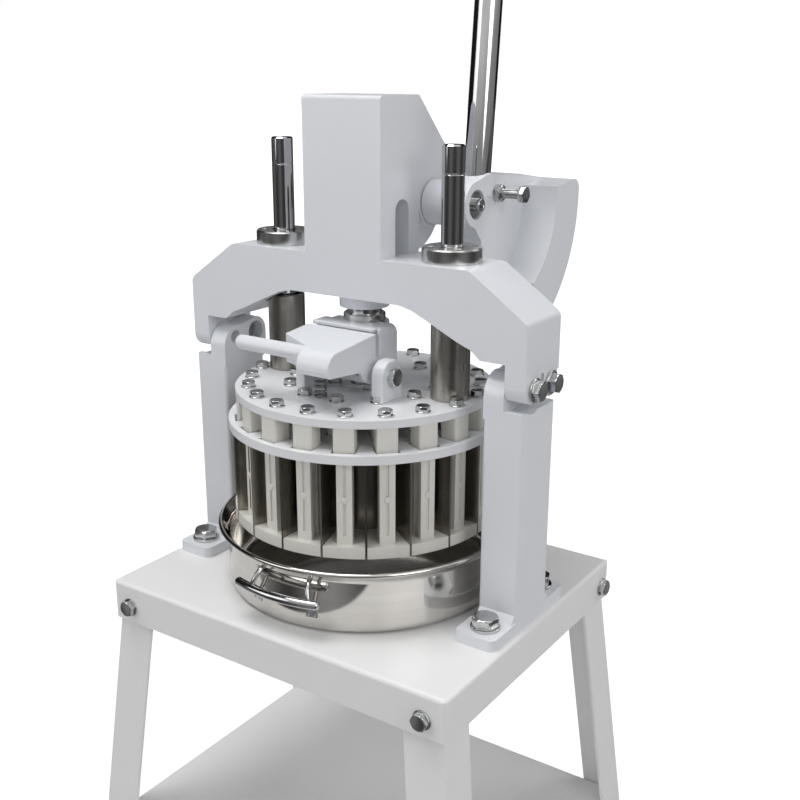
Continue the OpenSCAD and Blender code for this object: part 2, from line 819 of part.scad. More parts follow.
module plunger_outer() {
  top = press_bot - blade_z;
  translate([0, 0, foot_t - 1]) difference() {
    linear_extrude(knife_bot - blade_z - foot_t + 4) {
      window(129, 134, 15.5);
      window(115, 134, 6);
      window(114, 118, 13);
    }
    for (z = [10, 50]) {
      translate([132.4, -1.6, z]) cube([3, 3.2, 34]);
    }
  }
  translate([0, 0, knife_bot - blade_z + 2.5]) difference() {
    linear_extrude(top - knife_bot + blade_z - 2.5) soft_rect(115, -10.5, 136, 10.5, 3);
    translate([0, 0, -1]) linear_extrude(top - knife_bot + blade_z - 8)
      soft_rect(119, -7.5, 132, 7.5, 2);
  }
}

module plunger_mid(r) {
  top = press_bot - blade_z;
  translate([r, 0, foot_t - 1]) linear_extrude(knife_bot - blade_z - foot_t + 4) {
    square([14, 5], center = true);
    square([5, 14], center = true);
  }
  translate([r, 0, knife_bot - blade_z + 2.5]) linear_extrude(top - knife_bot + blade_z - 2.5)
    soft_rect(-8, -8, 8, 8, 3);
}

module plungers_outer() {
  color("white") up() translate([0, 0, blade_z]) difference() {
    union() {
      feet(ring_out_r + blade_t / 2 + 0.4, blade_r - 0.4, n_out);
      for (i = [0:n_out - 1]) {
        rotate((i + 0.5) * 360 / n_out) plunger_outer();
      }
    }
    for (i = [0:n_out - 1]) {
      rotate((i + 0.5) * 360 / n_out) translate([out_bolt_r(i), 0, press_bot - blade_z - 20])
        cylinder(r = 4.05, h = 30);
    }
  }
}

module plungers_middle() {
  color("white") up() translate([0, 0, blade_z]) difference() {
    union() {
      feet(ring_in_r + blade_t / 2 + 0.4, ring_out_r - blade_t / 2 - 0.4, n_mid);
      for (i = [0:n_mid - 1]) {
        rotate((i + 0.5) * 360 / n_mid) plunger_mid(bolt_mid_r);
      }
    }
    for (i = [0:n_mid - 1]) {
      rotate((i + 0.5) * 360 / n_mid) translate([bolt_mid_r, 0, press_bot - blade_z - 20])
        cylinder(r = 4.05, h = 30);
    }
  }
}

module plungers_inner() {
  color("white") up() translate([0, 0, blade_z]) difference() {
    union() {
      feet(1, ring_in_r - blade_t / 2 - 0.4, n_in);
      for (i = [0:n_in - 1]) {
        rotate((i + 0.5) * 360 / n_in) plunger_mid(bolt_in_r);
      }
    }
    for (i = [0:n_in - 1]) {
      rotate((i + 0.5) * 360 / n_in) translate([bolt_in_r, 0, press_bot - blade_z - 20])
        cylinder(r = 4.05, h = 30);
    }
  }
}

module plunger_bolt() {
  hex_bolt(8, 13, 5.3, 15.4, 1.5, press_t + 16);
}

module plunger_bolts() {
  color("silver") up() translate([0, 0, press_top]) {
    for (i = [0:n_out - 1]) {
      rotate((i + 0.5) * 360 / n_out) translate([out_bolt_r(i), 0]) rotate(i * 23) plunger_bolt();
    }
    for (i = [0:n_mid - 1]) {
      if (i != 0 && i != n_mid / 2 - 1 && i != n_mid / 2 && i != n_mid - 1) {
        rotate((i + 0.5) * 360 / n_mid) translate([bolt_mid_r, 0]) rotate(i * 17) plunger_bolt();
      }
    }
    for (i = [0:n_in - 1]) {
      rotate((i + 0.5) * 360 / n_in) translate([bolt_in_r, 0]) plunger_bolt();
    }
  }
}

module tie_bolts() {
  color("silver") up() for (s = [-1, 1]) {
    for (t = [-1, 1]) {
      translate([s * tie_x, t * tie_y, cross_z + cross_t])
        hex_bolt(8, 13, 5.3, 15.4, 1.5, cross_z + cross_t - press_bot + 16);
    }
  }
}

// Closed tube following a coil, eight rings a curl and six sides
module coil(r, wire, height, curls) {
  n = curls * 8;
  pts = [for (i = [0:n]) for (k = [0:5]) let (
      a = i * 45, z = wire + (height - 2 * wire) * i / n,
      q = r + wire * cos(k * 60)) [q * cos(a), q * sin(a), z + wire * sin(k * 60)]];
  walls = [for (i = [0:n - 1]) for (k = [0:5]) let (m = (k + 1) % 6)
    [i * 6 + k, i * 6 + m, (i + 1) * 6 + m, (i + 1) * 6 + k]];
  polyhedron(points = pts,
    faces = concat(walls, [[5, 4, 3, 2, 1, 0]], [[for (k = [0:5]) n * 6 + k]]));
}

module tie_springs() {
  h = cross_z - press_top;
  echo("tie spring gap", (h - 1.6) / 4 - 1.6);
  color("gray") up() for (s = [-1, 1]) {
    for (t = [-1, 1]) {
      translate([s * tie_x, t * tie_y, press_top]) coil(6.6, 0.8, h, 4);
    }
  }
}

module guide_tube() {
  translate([0, 0, press_top]) difference() {
    union() {
      cylinder(r = tube_d / 2 - 0.8, h = tube_top - press_top);
      cylinder(r = tube_d / 2, h = tube_top - press_top - 0.8);
    }
    translate([0, 0, -1]) cylinder(r = rod_d / 2 + 0.06, h = 40);
    translate([0, 0, 30]) cylinder(r = rod_d / 2 + 3, h = 200);
  }
}

module guide_tube_left() {
  color("gray") up() translate([-rod_x, 0, 0]) guide_tube();
}

module guide_tube_right() {
  color("gray") up() translate([rod_x, 0, 0]) guide_tube();
}

module lug(x0, x1) {
  difference() {
    union() {
      bar_x(x0, x1, latch_y, latch_z, 16.3);
      translate([x0, latch_y - 4.3, press_top]) cube([x1 - x0, 20.6, latch_z - press_top]);
    }
    bar_x(x0 - 1, x1 + 1, latch_y, latch_z, 5.03);
  }
}

module latch_lug_left() {
  color("white") up() lug(-46, -34);
}

module latch_lug_right() {
  color("white") up() lug(50, 64);
}

module latch_pin() {
  color("silver") up() {
    translate([64, latch_y, latch_z]) rotate([0, 90, 0]) hex_bolt(10, 17, 6.4, 17, 0.6, 121);
    translate([-46, latch_y, latch_z]) rotate([0, -90, 0]) hex(17, 8);
  }
}

module hood_outline(in) {
  polygon(concat([[latch_y + 2.5 - in, 284.5 - in - in * 0.05], [-118, 277 - in]],
    arc(-119, 267 - in * 0.2, 10 - in, 95, 180, 6),
    [[-128.5 + in, 259 + (in > 0 ? -20 : 0)], [-125 + in, 256 - (in > 0 ? 20 : 0)],
     [-66, 250 - (in > 0 ? 20 : 0)], [-58, 238 - (in > 0 ? 20 : 0)]],
    in > 0 ? [[latch_y + 2.5 - in, 210]] : arc(latch_y, latch_z, 13.5, 200, 359, 12),
    in > 0 ? [] : [[latch_y + 13.5, 258], [latch_y + 2.5, 261]]));
}

module latch_handle() {
  color("white") up() difference() {
    union() {
      along_x(latch_l, latch_r) hood_outline(0);
      bar_x(-70, latch_l + 15, -119.5, 272, 8);
      translate([-70, -119.5, 272]) sphere(r = 8);
    }
    along_x(latch_l + 5, latch_r - 5) hood_outline(5);
    bar_x(latch_l - 1, latch_r + 1, latch_y, latch_z, 5.1);
  }
}

module latch_spring() {
  h = 56.5;
  echo("latch spring gap", (h - 1.8) / 9 - 1.8);
  color("gray") up() translate([-3, -72, press_top]) coil(5.5, 0.9, h, 9);
}

// Pan
module pan() {
  r = 9;
  color("silver") up() difference() {
    rotate_extrude($fn = 120) polygon(concat([[0, 0]],
      arc(pan_r - r, r, r, -90, 0, 8),
      [[pan_r, rim_z - 14], [pan_r + 2, rim_z - 9], [rim_r - 3, rim_z - 5]],
      arc(rim_r - 2, rim_z - 2.5, 2.4, -60, 90, 6),
      [[pan_r + 1, rim_z - 5 + 1.2], [pan_r - pan_t, rim_z - 13]],
      arc(pan_r - r, pan_floor + 7.5, r - pan_t, 0, -90, 8),
      [[0, pan_floor]]));
    for (s = [-1, 1]) {
      for (t = [-1, 1]) {
        rotate(s * 90 + t * 17) bar_x(pan_r - 8, pan_r + 4, 0, 40, 2.05);
      }
    }
  }
}

module bow() {
  a = 17;
  for (t = [-1, 1]) {
    rotate(t * a) bar_x(pan_r + 3, pan_r + 18, 0, 40, 4);
  }
  rotate([0, 0, -a]) rotate_extrude(angle = 2 * a) translate([pan_r + 18, 40]) circle(r = 4);
}

module pan_handles() {
  color("silver") up() for (s = [-90, 90]) {
    rotate(s) bow();
  }
}

module pan_brackets() {
  color("silver") up() for (s = [-90, 90]) {
    for (t = [-17, 17]) {
      rotate(s + t) {
        bar_x(pan_r - 3.2, pan_r + 3, 0, 40, 2);
        intersection() {
          bar_x(pan_r - 3, pan_r + 3, 0, 40, 9);
          difference() {
            cylinder(r = pan_r + 3, h = 80);
            translate([0, 0, -1]) cylinder(r = pan_r, h = 90);
          }
        }
      }
    }
  }
}

table_plate();
shelf_tray();
leg_front_left();
leg_front_right();
leg_rear_left();
leg_rear_right();
leg_bolts();
leg_pads();
column_left();
column_right();
column_bolts();
pivot_bolts();
lock_bolts();
yoke();
guide_ring_left();
guide_ring_right();
ram_bush();
shaft_bushes();
lever_shaft();
shaft_key();
shaft_collar();
pinion();
lever_hub();
hub_screw();
stop_bolt();
stop_nut();
lever_rod();
lever_grip();
ram();
ram_collar();
crosshead();
oil_plug();
guide_rod_left();
guide_rod_right();
knife_disc();
ring_blades();
blades_outer();
blades_middle();
blades_inner();
presser_disc();
plungers_outer();
plungers_middle();
plungers_inner();
plunger_bolts();
tie_bolts();
tie_springs();
guide_tube_left();
guide_tube_right();
latch_lug_left();
latch_lug_right();
latch_pin();
latch_handle();
latch_spring();
pan();
pan_handles();
pan_brackets();
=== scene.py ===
"""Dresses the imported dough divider: castings, table, head, pan, lever, lights and camera."""
import logging
import math
from dataclasses import dataclass, field
from enum import Enum

import bmesh
import bpy
import numpy as np
from mathutils import Matrix, Vector


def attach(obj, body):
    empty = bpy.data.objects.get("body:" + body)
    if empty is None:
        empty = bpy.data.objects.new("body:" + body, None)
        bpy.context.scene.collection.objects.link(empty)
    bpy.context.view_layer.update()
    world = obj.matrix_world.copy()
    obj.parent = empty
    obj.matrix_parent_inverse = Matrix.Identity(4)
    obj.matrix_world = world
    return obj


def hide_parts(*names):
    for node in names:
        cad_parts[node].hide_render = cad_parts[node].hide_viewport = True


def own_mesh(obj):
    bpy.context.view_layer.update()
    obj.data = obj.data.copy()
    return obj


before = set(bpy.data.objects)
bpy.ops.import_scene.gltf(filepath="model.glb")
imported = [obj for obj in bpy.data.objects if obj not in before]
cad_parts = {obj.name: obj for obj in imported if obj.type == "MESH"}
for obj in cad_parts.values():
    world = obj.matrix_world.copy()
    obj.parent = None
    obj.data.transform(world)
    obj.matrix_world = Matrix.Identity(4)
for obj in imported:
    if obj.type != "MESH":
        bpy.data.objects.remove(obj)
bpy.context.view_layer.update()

LOG = logging.getLogger("divider")
MM = 0.001
TABLE_H = 620.0
HINGE_Y, HINGE_Z = -42.5, 243.6
TAU = 2.0 * math.pi


class Body(Enum):
    """The bodies of the frame that a piece can ride on."""

    STAND = "stand"
    LEVER = "lever"
    HEAD = "head"
    PRESSER = "presser"
    LATCH = "latch"
    PAN = "pan"


class Slot(Enum):
    """The material slots."""

    PAINT = "white_paint"
    ZINC = "zinc"
    CHROME = "chrome"
    STEEL = "steel"
    BRONZE = "bronze"
    NYLON = "nylon"
    RUBBER = "rubber"


class Grain(Enum):
    """Direction of the fine lines that a tool leaves on metal."""

    NONE = "none"
    UPRIGHT = "upright"
    RINGS = "rings"


# Node groups shared by the finishes


def new_group(name: str, inputs: list[tuple[str, str, float]], outputs: list[tuple[str, str]]):
    """Makes an empty shader group.

    Args:
        name: name of the group.
        inputs: socket name, socket type and default of each input.
        outputs: socket name and socket type of each output.

    Returns:
        The group, its input node and its output node.
    """
    group = bpy.data.node_groups.new(name, "ShaderNodeTree")
    for label, kind, value in inputs:
        socket = group.interface.new_socket(label, in_out="INPUT", socket_type=kind)
        if kind == "NodeSocketFloat":
            socket.default_value = value
    for label, kind in outputs:
        group.interface.new_socket(label, in_out="OUTPUT", socket_type=kind)
    return group, group.nodes.new("NodeGroupInput"), group.nodes.new("NodeGroupOutput")


@dataclass
class Wiring:
    """Short hand for adding and joining shader nodes in one tree."""

    tree: bpy.types.NodeTree

    def node(self, kind: str, **values) -> bpy.types.Node:
        """Adds a node and sets its properties by name."""
        made = self.tree.nodes.new(kind)
        for key, value in values.items():
            setattr(made, key, value)
        return made

    def link(self, source: bpy.types.NodeSocket, target: bpy.types.NodeSocket) -> None:
        """Joins two sockets."""
        self.tree.links.new(source, target)

    def math(self, operation: str, a, b=0.0, clamp: bool = False) -> bpy.types.NodeSocket:
        """Adds a Math node fed by sockets or numbers.

        Args:
            operation: Blender's name of the operation.
            a: first operand.
            b: second operand.
            clamp: keep the result from zero to one.

        Returns:
            The value socket.
        """
        made = self.node("ShaderNodeMath", operation=operation, use_clamp=clamp)
        for slot, value in zip(made.inputs, (a, b)):
            if isinstance(value, (int, float)):
                slot.default_value = value
            else:
                self.link(value, slot)
        return made.outputs[0]

    def noise(self, vector, scale: float, detail: float = 3.0, rough: float = 0.55):
        """Adds a Noise texture and gives its factor socket."""
        made = self.node("ShaderNodeTexNoise")
        made.inputs["Scale"].default_value = scale
        made.inputs["Detail"].default_value = detail
        made.inputs["Roughness"].default_value = rough
        self.link(vector, made.inputs["Vector"])
        return made.outputs["Fac"]

    def split(self, vector) -> tuple:
        """Gives the X, Y and Z of a vector as sockets."""
        made = self.node("ShaderNodeSeparateXYZ")
        self.link(vector, made.inputs[0])
        return tuple(made.outputs)

    def radius(self, x, y) -> bpy.types.NodeSocket:
        """Distance from the Z axis: the root of x squared plus y squared."""
        return self.math("SQRT", self.math("ADD", self.math("MULTIPLY", x, x), self.math("MULTIPLY", y, y)))

    def spread(self, value, low: float, high: float, start: float = 0.0, stop: float = 1.0,
               interpolation: str = "LINEAR") -> bpy.types.NodeSocket:
        """Maps the span from start to stop onto low to high.

        Args:
            value: the value to map.
            low: result at start.
            high: result at stop.
            start: value that gives low.
            stop: value that gives high.
            interpolation: Blender's name of the way between them.

        Returns:
            The mapped value, kept from low to high.
        """
        made = self.node("ShaderNodeMapRange", clamp=True, interpolation_type=interpolation)
        made.inputs["From Min"].default_value = start
        made.inputs["From Max"].default_value = stop
        made.inputs["To Min"].default_value = low
        made.inputs["To Max"].default_value = high
        self.link(value, made.inputs["Value"])
        return made.outputs["Result"]

    def mix(self, factor, a, b, blend: str = "MIX") -> bpy.types.NodeSocket:
        """Mixes two colours, each given as a socket or as four numbers."""
        made = self.node("ShaderNodeMix", data_type="RGBA", blend_type=blend)
        for name, value in (("Factor", factor), ("A", a), ("B", b)):
            if isinstance(value, bpy.types.NodeSocket):
                self.link(value, made.inputs[name])
            else:
                made.inputs[name].default_value = value
        return made.outputs["Result"]

    def stretched(self, vector, scale: tuple[float, float, float]) -> bpy.types.NodeSocket:
        """Scales a vector by axis."""
        made = self.node("ShaderNodeMapping")
        made.inputs["Scale"].default_value = scale
        self.link(vector, made.inputs["Vector"])
        return made.outputs["Vector"]


def skin_group() -> bpy.types.NodeTree:
    """Group that gives a sprayed skin: fine orange peel over slow casting waves.

    Returns:
        Group with outputs Height, Gloss (a mask) and Shade (a mask of faint stains).
    """
    group, inner, outer = new_group(
        "SprayedSkin",
        [("Peel", "NodeSocketFloat", 1.0), ("Waves", "NodeSocketFloat", 1.0)],
        [("Height", "NodeSocketFloat"), ("Gloss", "NodeSocketFloat"), ("Shade", "NodeSocketFloat")],
    )
    w = Wiring(group)
    place = w.node("ShaderNodeTexCoord").outputs["Object"]
    peel = w.math("MULTIPLY", w.noise(place, 420.0, 2.0), inner.outputs["Peel"])
    waves = w.math("MULTIPLY", w.noise(place, 38.0, 3.0), inner.outputs["Waves"])
    w.link(w.math("ADD", peel, waves), outer.inputs["Height"])
    w.link(w.noise(place, 14.0, 5.0, 0.62), outer.inputs["Gloss"])
    w.link(w.noise(place, 5.5, 4.0, 0.6), outer.inputs["Shade"])
    return group


def lines_group(grain: Grain) -> bpy.types.NodeTree:
    """Group that gives tool lines: noise drawn out along the way the tool went.

    Args:
        grain: direction of the lines.

    Returns:
        Group with outputs Fine and Broad, both masks.
    """
    group, _, outer = new_group(
        "ToolLines_" + grain.value, [], [("Fine", "NodeSocketFloat"), ("Broad", "NodeSocketFloat")]
    )
    w = Wiring(group)
    place = w.node("ShaderNodeTexCoord").outputs["Object"]
    if grain is Grain.RINGS:
        x, y, z = w.split(place)
        turned_place = w.node("ShaderNodeCombineXYZ")
        w.link(w.radius(x, y), turned_place.inputs[0])
        w.link(z, turned_place.inputs[2])
        along, fine, broad = turned_place.outputs[0], 900.0, 60.0
    else:
        run = {Grain.UPRIGHT: (1.0, 1.0, 0.012), Grain.NONE: (1.0, 1.0, 1.0)}
        along, fine, broad = w.stretched(place, run[grain]), 1400.0, 110.0
    w.link(w.noise(along, fine, 2.0), outer.inputs["Fine"])
    w.link(w.noise(along, broad, 3.0), outer.inputs["Broad"])
    return group


def hollow_shade_group() -> bpy.types.NodeTree:
    """Group that finds hollows from the mesh's own curvature, as a mask of painted shade, mottled by noise.

    Returns:
        Group with the output Hollow, a mask of painted shade in concave places.
    """
    group, _, outer = new_group("PaintedHollowShade", [], [("Hollow", "NodeSocketFloat")])
    w = Wiring(group)
    bent = w.node("ShaderNodeNewGeometry").outputs["Pointiness"]
    place = w.node("ShaderNodeTexCoord").outputs["Object"]
    mottle = w.noise(place, 90.0, 4.0)
    # Painted shade: concave places (low pointiness) get a high mask, which mixes in the finish's second
    # colour where shade would fall.
    hollow = w.spread(bent, 0.0, 1.0, 0.48, 0.40)
    w.link(w.math("MULTIPLY", hollow, mottle, True), outer.inputs["Hollow"])
    return group


@dataclass
class Library:
    """The node groups, each made once."""

    skin: bpy.types.NodeTree = field(default_factory=skin_group)
    # Painted shade in hollows, shared by every finish.
    hollow_shade: bpy.types.NodeTree = field(default_factory=hollow_shade_group)
    lines: dict = field(default_factory=lambda: {g: lines_group(g) for g in Grain})


@dataclass(frozen=True)
class Finish:
    """Common part of every finish: name, colour and how the shader starts."""

    name: str
    colour: tuple[float, float, float]
    second: tuple[float, float, float]
    rough: tuple[float, float]
    slot: Slot

    def begin(self) -> tuple[bpy.types.Material, Wiring, bpy.types.Node]:
        """Makes the material with its Principled shader."""
        material = bpy.data.materials.new(self.name)
        material.use_nodes = True
        shader = material.node_tree.nodes["Principled BSDF"]
        return material, Wiring(material.node_tree), shader

    def tint(self, w: Wiring, mask, shader: bpy.types.Node) -> None:
        """Mixes the two colours by a mask into Base Color."""
        w.link(w.mix(mask, (*self.colour, 1.0), (*self.second, 1.0)), shader.inputs["Base Color"])

    def bump(self, w: Wiring, height, shader: bpy.types.Node, strength: float, depth: float) -> None:
        """Feeds a height into Normal through a Bump node."""
        made = w.node("ShaderNodeBump")
        made.inputs["Strength"].default_value = strength
        made.inputs["Distance"].default_value = depth
        w.link(height, made.inputs["Height"])
        w.link(made.outputs["Normal"], shader.inputs["Normal"])


@dataclass(frozen=True)
class Sprayed(Finish):
    """Powder coat on castings or sheet."""

    waves: float = 1.0
    peel: float = 1.0

    def build(self, library: Library) -> bpy.types.Material:
        """Makes the material.

        Args:
            library: the shared node groups.

        Returns:
            The finished material.
        """
        material, w, shader = self.begin()
        skin = w.node("ShaderNodeGroup", node_tree=library.skin)
        skin.inputs["Peel"].default_value = self.peel
        skin.inputs["Waves"].default_value = self.waves
        hollow_shade = w.node("ShaderNodeGroup", node_tree=library.hollow_shade)
        stain = w.math("MULTIPLY", w.spread(skin.outputs["Shade"], 0.0, 1.0), 0.45)
        # Mask: faint stains plus painted shade in hollows, both mixed toward the second colour.
        mask = w.math("ADD", stain, w.math("MULTIPLY", hollow_shade.outputs["Hollow"], 0.9), True)
        self.tint(w, mask, shader)
        w.link(w.spread(skin.outputs["Gloss"], *self.rough), shader.inputs["Roughness"])
        self.bump(w, skin.outputs["Height"], shader, 0.12, 0.0006)
        shader.inputs["Coat Weight"].default_value = 0.25
        shader.inputs["Coat Roughness"].default_value = 0.12
        shader.inputs["IOR"].default_value = 1.5
        return material


@dataclass(frozen=True)
class Metal(Finish):
    """Bare, plated or polished metal with tool lines."""

    grain: Grain = Grain.NONE
    line_depth: float = 0.15
    tarnish: float = 0.5

    def build(self, library: Library) -> bpy.types.Material:
        """Makes the material.

        Args:
            library: the shared node groups.

        Returns:
            The finished material.
        """
        material, w, shader = self.begin()
        lines = w.node("ShaderNodeGroup", node_tree=library.lines[self.grain])
        hollow_shade = w.node("ShaderNodeGroup", node_tree=library.hollow_shade)
        place = w.node("ShaderNodeTexCoord").outputs["Object"]
        cloud = w.spread(w.noise(place, 60.0, 4.0), -0.3, 1.2)
        broad = w.spread(lines.outputs["Broad"], -0.6, 1.5)
        mask = w.math("MULTIPLY", w.math("ADD", w.math("MULTIPLY", cloud, 0.5), broad), self.tarnish, True)
        # Painted shade in hollows is added to the tarnish mask.
        mask = w.math("ADD", mask, w.math("MULTIPLY", hollow_shade.outputs["Hollow"], 0.7), True)
        self.tint(w, mask, shader)
        rough = w.math("ADD", w.math("MULTIPLY", lines.outputs["Fine"], 0.6), w.math("MULTIPLY", cloud, 0.4))
        w.link(w.spread(rough, *self.rough), shader.inputs["Roughness"])
        self.bump(w, lines.outputs["Fine"], shader, self.line_depth, 0.00015)
        shader.inputs["Metallic"].default_value = 1.0
        return material


@dataclass(frozen=True)
class Moulded(Finish):
    """Plastic or rubber with a faint mould skin."""

    sheen: float = 0.0
    subsurface: float = 0.0

    def build(self, library: Library) -> bpy.types.Material:
        """Makes the material.

        Args:
            library: the shared node groups.

        Returns:
            The finished material.
        """
        material, w, shader = self.begin()
        skin = w.node("ShaderNodeGroup", node_tree=library.skin)
        skin.inputs["Peel"].default_value = 0.7
        skin.inputs["Waves"].default_value = 0.6
        hollow_shade = w.node("ShaderNodeGroup", node_tree=library.hollow_shade)
        # Mask: faint stains plus painted shade in hollows, both mixed toward the second colour.
        mask = w.math("ADD", w.math("MULTIPLY", skin.outputs["Shade"], 0.5),
                      w.math("MULTIPLY", hollow_shade.outputs["Hollow"], 0.8), True)
        self.tint(w, mask, shader)
        w.link(w.spread(skin.outputs["Gloss"], *self.rough), shader.inputs["Roughness"])
        self.bump(w, skin.outputs["Height"], shader, 0.2, 0.0004)
        shader.inputs["Subsurface Weight"].default_value = self.subsurface
        shader.inputs["Subsurface Radius"].default_value = (0.004, 0.003, 0.002)
        shader.inputs["Sheen Weight"].default_value = self.sheen
        return material


class Paints:
    """All finishes of the machine, made on first use."""

    # Each finish's second colour goes where its mask falls: stains, tarnish and painted shade in hollows.
    CAST = Sprayed("paint_casting", (0.80, 0.82, 0.86), (0.72, 0.73, 0.75), (0.30, 0.44),
                   Slot.PAINT, 1.6, 1.0)
    SHEET = Sprayed("paint_sheet", (0.88, 0.88, 0.88), (0.80, 0.80, 0.79), (0.34, 0.46),
                    Slot.PAINT, 0.5, 1.0)
    PLATE = Sprayed("paint_disc", (0.83, 0.84, 0.86), (0.74, 0.74, 0.74), (0.34, 0.48),
                    Slot.PAINT, 0.4, 0.6)
    ZINC = Metal("zinc_plate", (0.70, 0.71, 0.71), (0.34, 0.34, 0.33), (0.10, 0.26),
                 Slot.ZINC, Grain.NONE, 0.25, 0.6)
    CHROME = Metal("hard_chrome", (0.66, 0.66, 0.67), (0.40, 0.40, 0.41), (0.04, 0.12),
                   Slot.CHROME, Grain.UPRIGHT, 0.05, 0.5)
    SPUN = Metal("spun_steel", (0.74, 0.72, 0.69), (0.50, 0.48, 0.45), (0.05, 0.14),
                 Slot.CHROME, Grain.RINGS, 0.06, 0.5)
    TURNED = Metal("turned_ring", (0.66, 0.66, 0.65), (0.4, 0.4, 0.38), (0.14, 0.3),
                   Slot.CHROME, Grain.RINGS, 0.2, 0.5)
    TUBE = Metal("drawn_tube", (0.50, 0.48, 0.44), (0.26, 0.25, 0.22), (0.2, 0.4),
                 Slot.STEEL, Grain.UPRIGHT, 0.2, 0.8)
    BLADE = Metal("blade_sheet", (0.46, 0.43, 0.39), (0.22, 0.20, 0.17), (0.16, 0.32),
                  Slot.STEEL, Grain.UPRIGHT, 0.12, 0.7)
    DARK = Metal("gear_steel", (0.36, 0.35, 0.33), (0.16, 0.15, 0.13), (0.3, 0.5),
                 Slot.STEEL, Grain.NONE, 0.2, 0.8)
    BRONZE = Metal("bush_bronze", (0.62, 0.44, 0.24), (0.42, 0.28, 0.14), (0.25, 0.4),
                   Slot.BRONZE, Grain.NONE, 0.1, 0.5)
    NYLON = Moulded("moulded_nylon", (0.80, 0.79, 0.74), (0.68, 0.66, 0.58), (0.34, 0.5),
                    Slot.NYLON, 0.0, 0.12)
    RUBBER = Moulded("black_rubber", (0.022, 0.022, 0.023), (0.05, 0.05, 0.048), (0.5, 0.7),
                     Slot.RUBBER, 0.15)

    def __init__(self, library: Library) -> None:
        """Starts with no material made."""
        self.library = library
        self.made: dict[str, bpy.types.Material] = {}

    def get(self, finish: Finish) -> bpy.types.Material:
        """Gives the finish's material, made once."""
        if finish.name not in self.made:
            self.made[finish.name] = finish.build(self.library)
        return self.made[finish.name]


# Surfaces worked out with numpy


@dataclass
class Shell:
    """A mesh as arrays: points in millimetres from the floor's middle, and faces."""

    points: np.ndarray
    faces: np.ndarray

    def placed(self, places: np.ndarray) -> "Shell":
        """Repeats the shell at each 4 by 4 matrix.

        Args:
            places: array of k matrices.

        Returns:
            One shell with k copies. Point = matrix times point, done for all at once.
        """
        flat = np.c_[self.points, np.ones(len(self.points))]
        moved = np.einsum("kij,nj->kni", places, flat)[:, :, :3]
        shift = (np.arange(len(places)) * len(self.points))[:, None, None]
        return Shell(moved.reshape(-1, 3), (self.faces[None] + shift).reshape(-1, self.faces.shape[1]))


def grid_faces(rows: int, cols: int) -> np.ndarray:
    """Quads of a grid of points whose last column joins the first."""
    i, j = np.meshgrid(np.arange(rows - 1), np.arange(cols), indexing="ij")
    k = (j + 1) % cols
    return np.stack([i * cols + j, i * cols + k, (i + 1) * cols + k, (i + 1) * cols + j], -1).reshape(-1, 4)


def revolve(profile: np.ndarray, steps: int = 64) -> Shell:
    """Turns a profile of (radius, height) about Z: x = r cos t, y = r sin t, z = height."""
    profile = np.asarray(profile, float)
    t = np.arange(steps) * TAU / steps
    r, z = profile[:, :1], profile[:, 1:]
    points = np.stack([r * np.cos(t), r * np.sin(t), z + 0 * t], -1)
    return Shell(points.reshape(-1, 3), grid_faces(len(profile), steps))


def cylinder(radius: float, low: float, high: float, steps: int) -> Shell:
    """Plain round bar about Z."""
    return revolve([[0, low], [radius, low], [radius, high], [0, high]], steps)


def tube(path: np.ndarray, radius: float, up: np.ndarray, sides: int = 12) -> Shell:
    """Carries a circle along a path. Side = tangent x up, lift = side x tangent, ends closed.

    Args:
        path: points of the middle line.
        radius: radius of the tube.
        up: a direction that is never along the path.
        sides: points round the tube.

    Returns:
        The closed tube.
    """
    run = np.gradient(path, axis=0)
    run /= np.linalg.norm(run, axis=1, keepdims=True)
    side = np.cross(run, up)
    side /= np.linalg.norm(side, axis=1, keepdims=True)
    lift = np.cross(side, run)
    t = np.arange(sides) * TAU / sides
    ring = radius * (side[:, None] * np.cos(t)[None, :, None] + lift[:, None] * np.sin(t)[None, :, None])
    body = path[:, None] + ring
    ends = [np.repeat(path[:1, None], sides, 1), body, np.repeat(path[-1:, None], sides, 1)]
    points = np.concatenate(ends)
    return Shell(points.reshape(-1, 3), grid_faces(len(points), sides))


def coil(radius: float, wire: float, low: float, high: float, curls: float) -> Shell:
    """Spring: the middle line climbs slowly at both ends and evenly between, as ground coils do."""
    t = np.linspace(0.0, 1.0, int(curls * 40))
    climb = np.clip((t * curls - 0.8) / (curls - 1.6), 0.0, 1.0)
    z = low + wire + (high - low - 2 * wire) * (0.08 * t + 0.92 * climb)
    path = np.stack([radius * np.cos(TAU * curls * t), radius * np.sin(TAU * curls * t), z], -1)
    return tube(path, wire, np.array([0.0, 0.0, 1.0]), 8)


def hexagon(t: np.ndarray, flats: float) -> np.ndarray:
    """Distance from the middle to a hexagon's side at angle t: half of flats over cos(t mod 60 - 30)."""
    return flats / 2.0 / np.cos((t % (TAU / 6)) - TAU / 12)


def hex_head(flats: float, height: float, base: float = 0.0) -> Shell:
    """Bolt head: at each height the radius is the lesser of the hexagon and the crown's cone."""
    t = np.arange(72) * TAU / 72 + TAU / 144
    crown = height - np.array([0, 0.02, 0.05, 0.09, 0.13, 0.18]) * flats
    z = np.r_[0.0, 0.0, 0.3, np.sort(crown), height]
    cone = flats * 0.47 + (height - z)[:, None] * 1.75
    r = np.minimum(hexagon(t, flats)[None], cone)
    r[0] = 0.0
    r[1] *= 0.985
    r = np.vstack([r, r[-1:] * 0.94, r[-1:] * 0.88, 0 * r[-1:]])
    z = np.r_[z, height, height - 0.12, height - 0.12] + base
    points = np.stack([r * np.cos(t), r * np.sin(t), z[:, None] + 0 * t], -1)
    return Shell(points.reshape(-1, 3), grid_faces(len(z), len(t)))


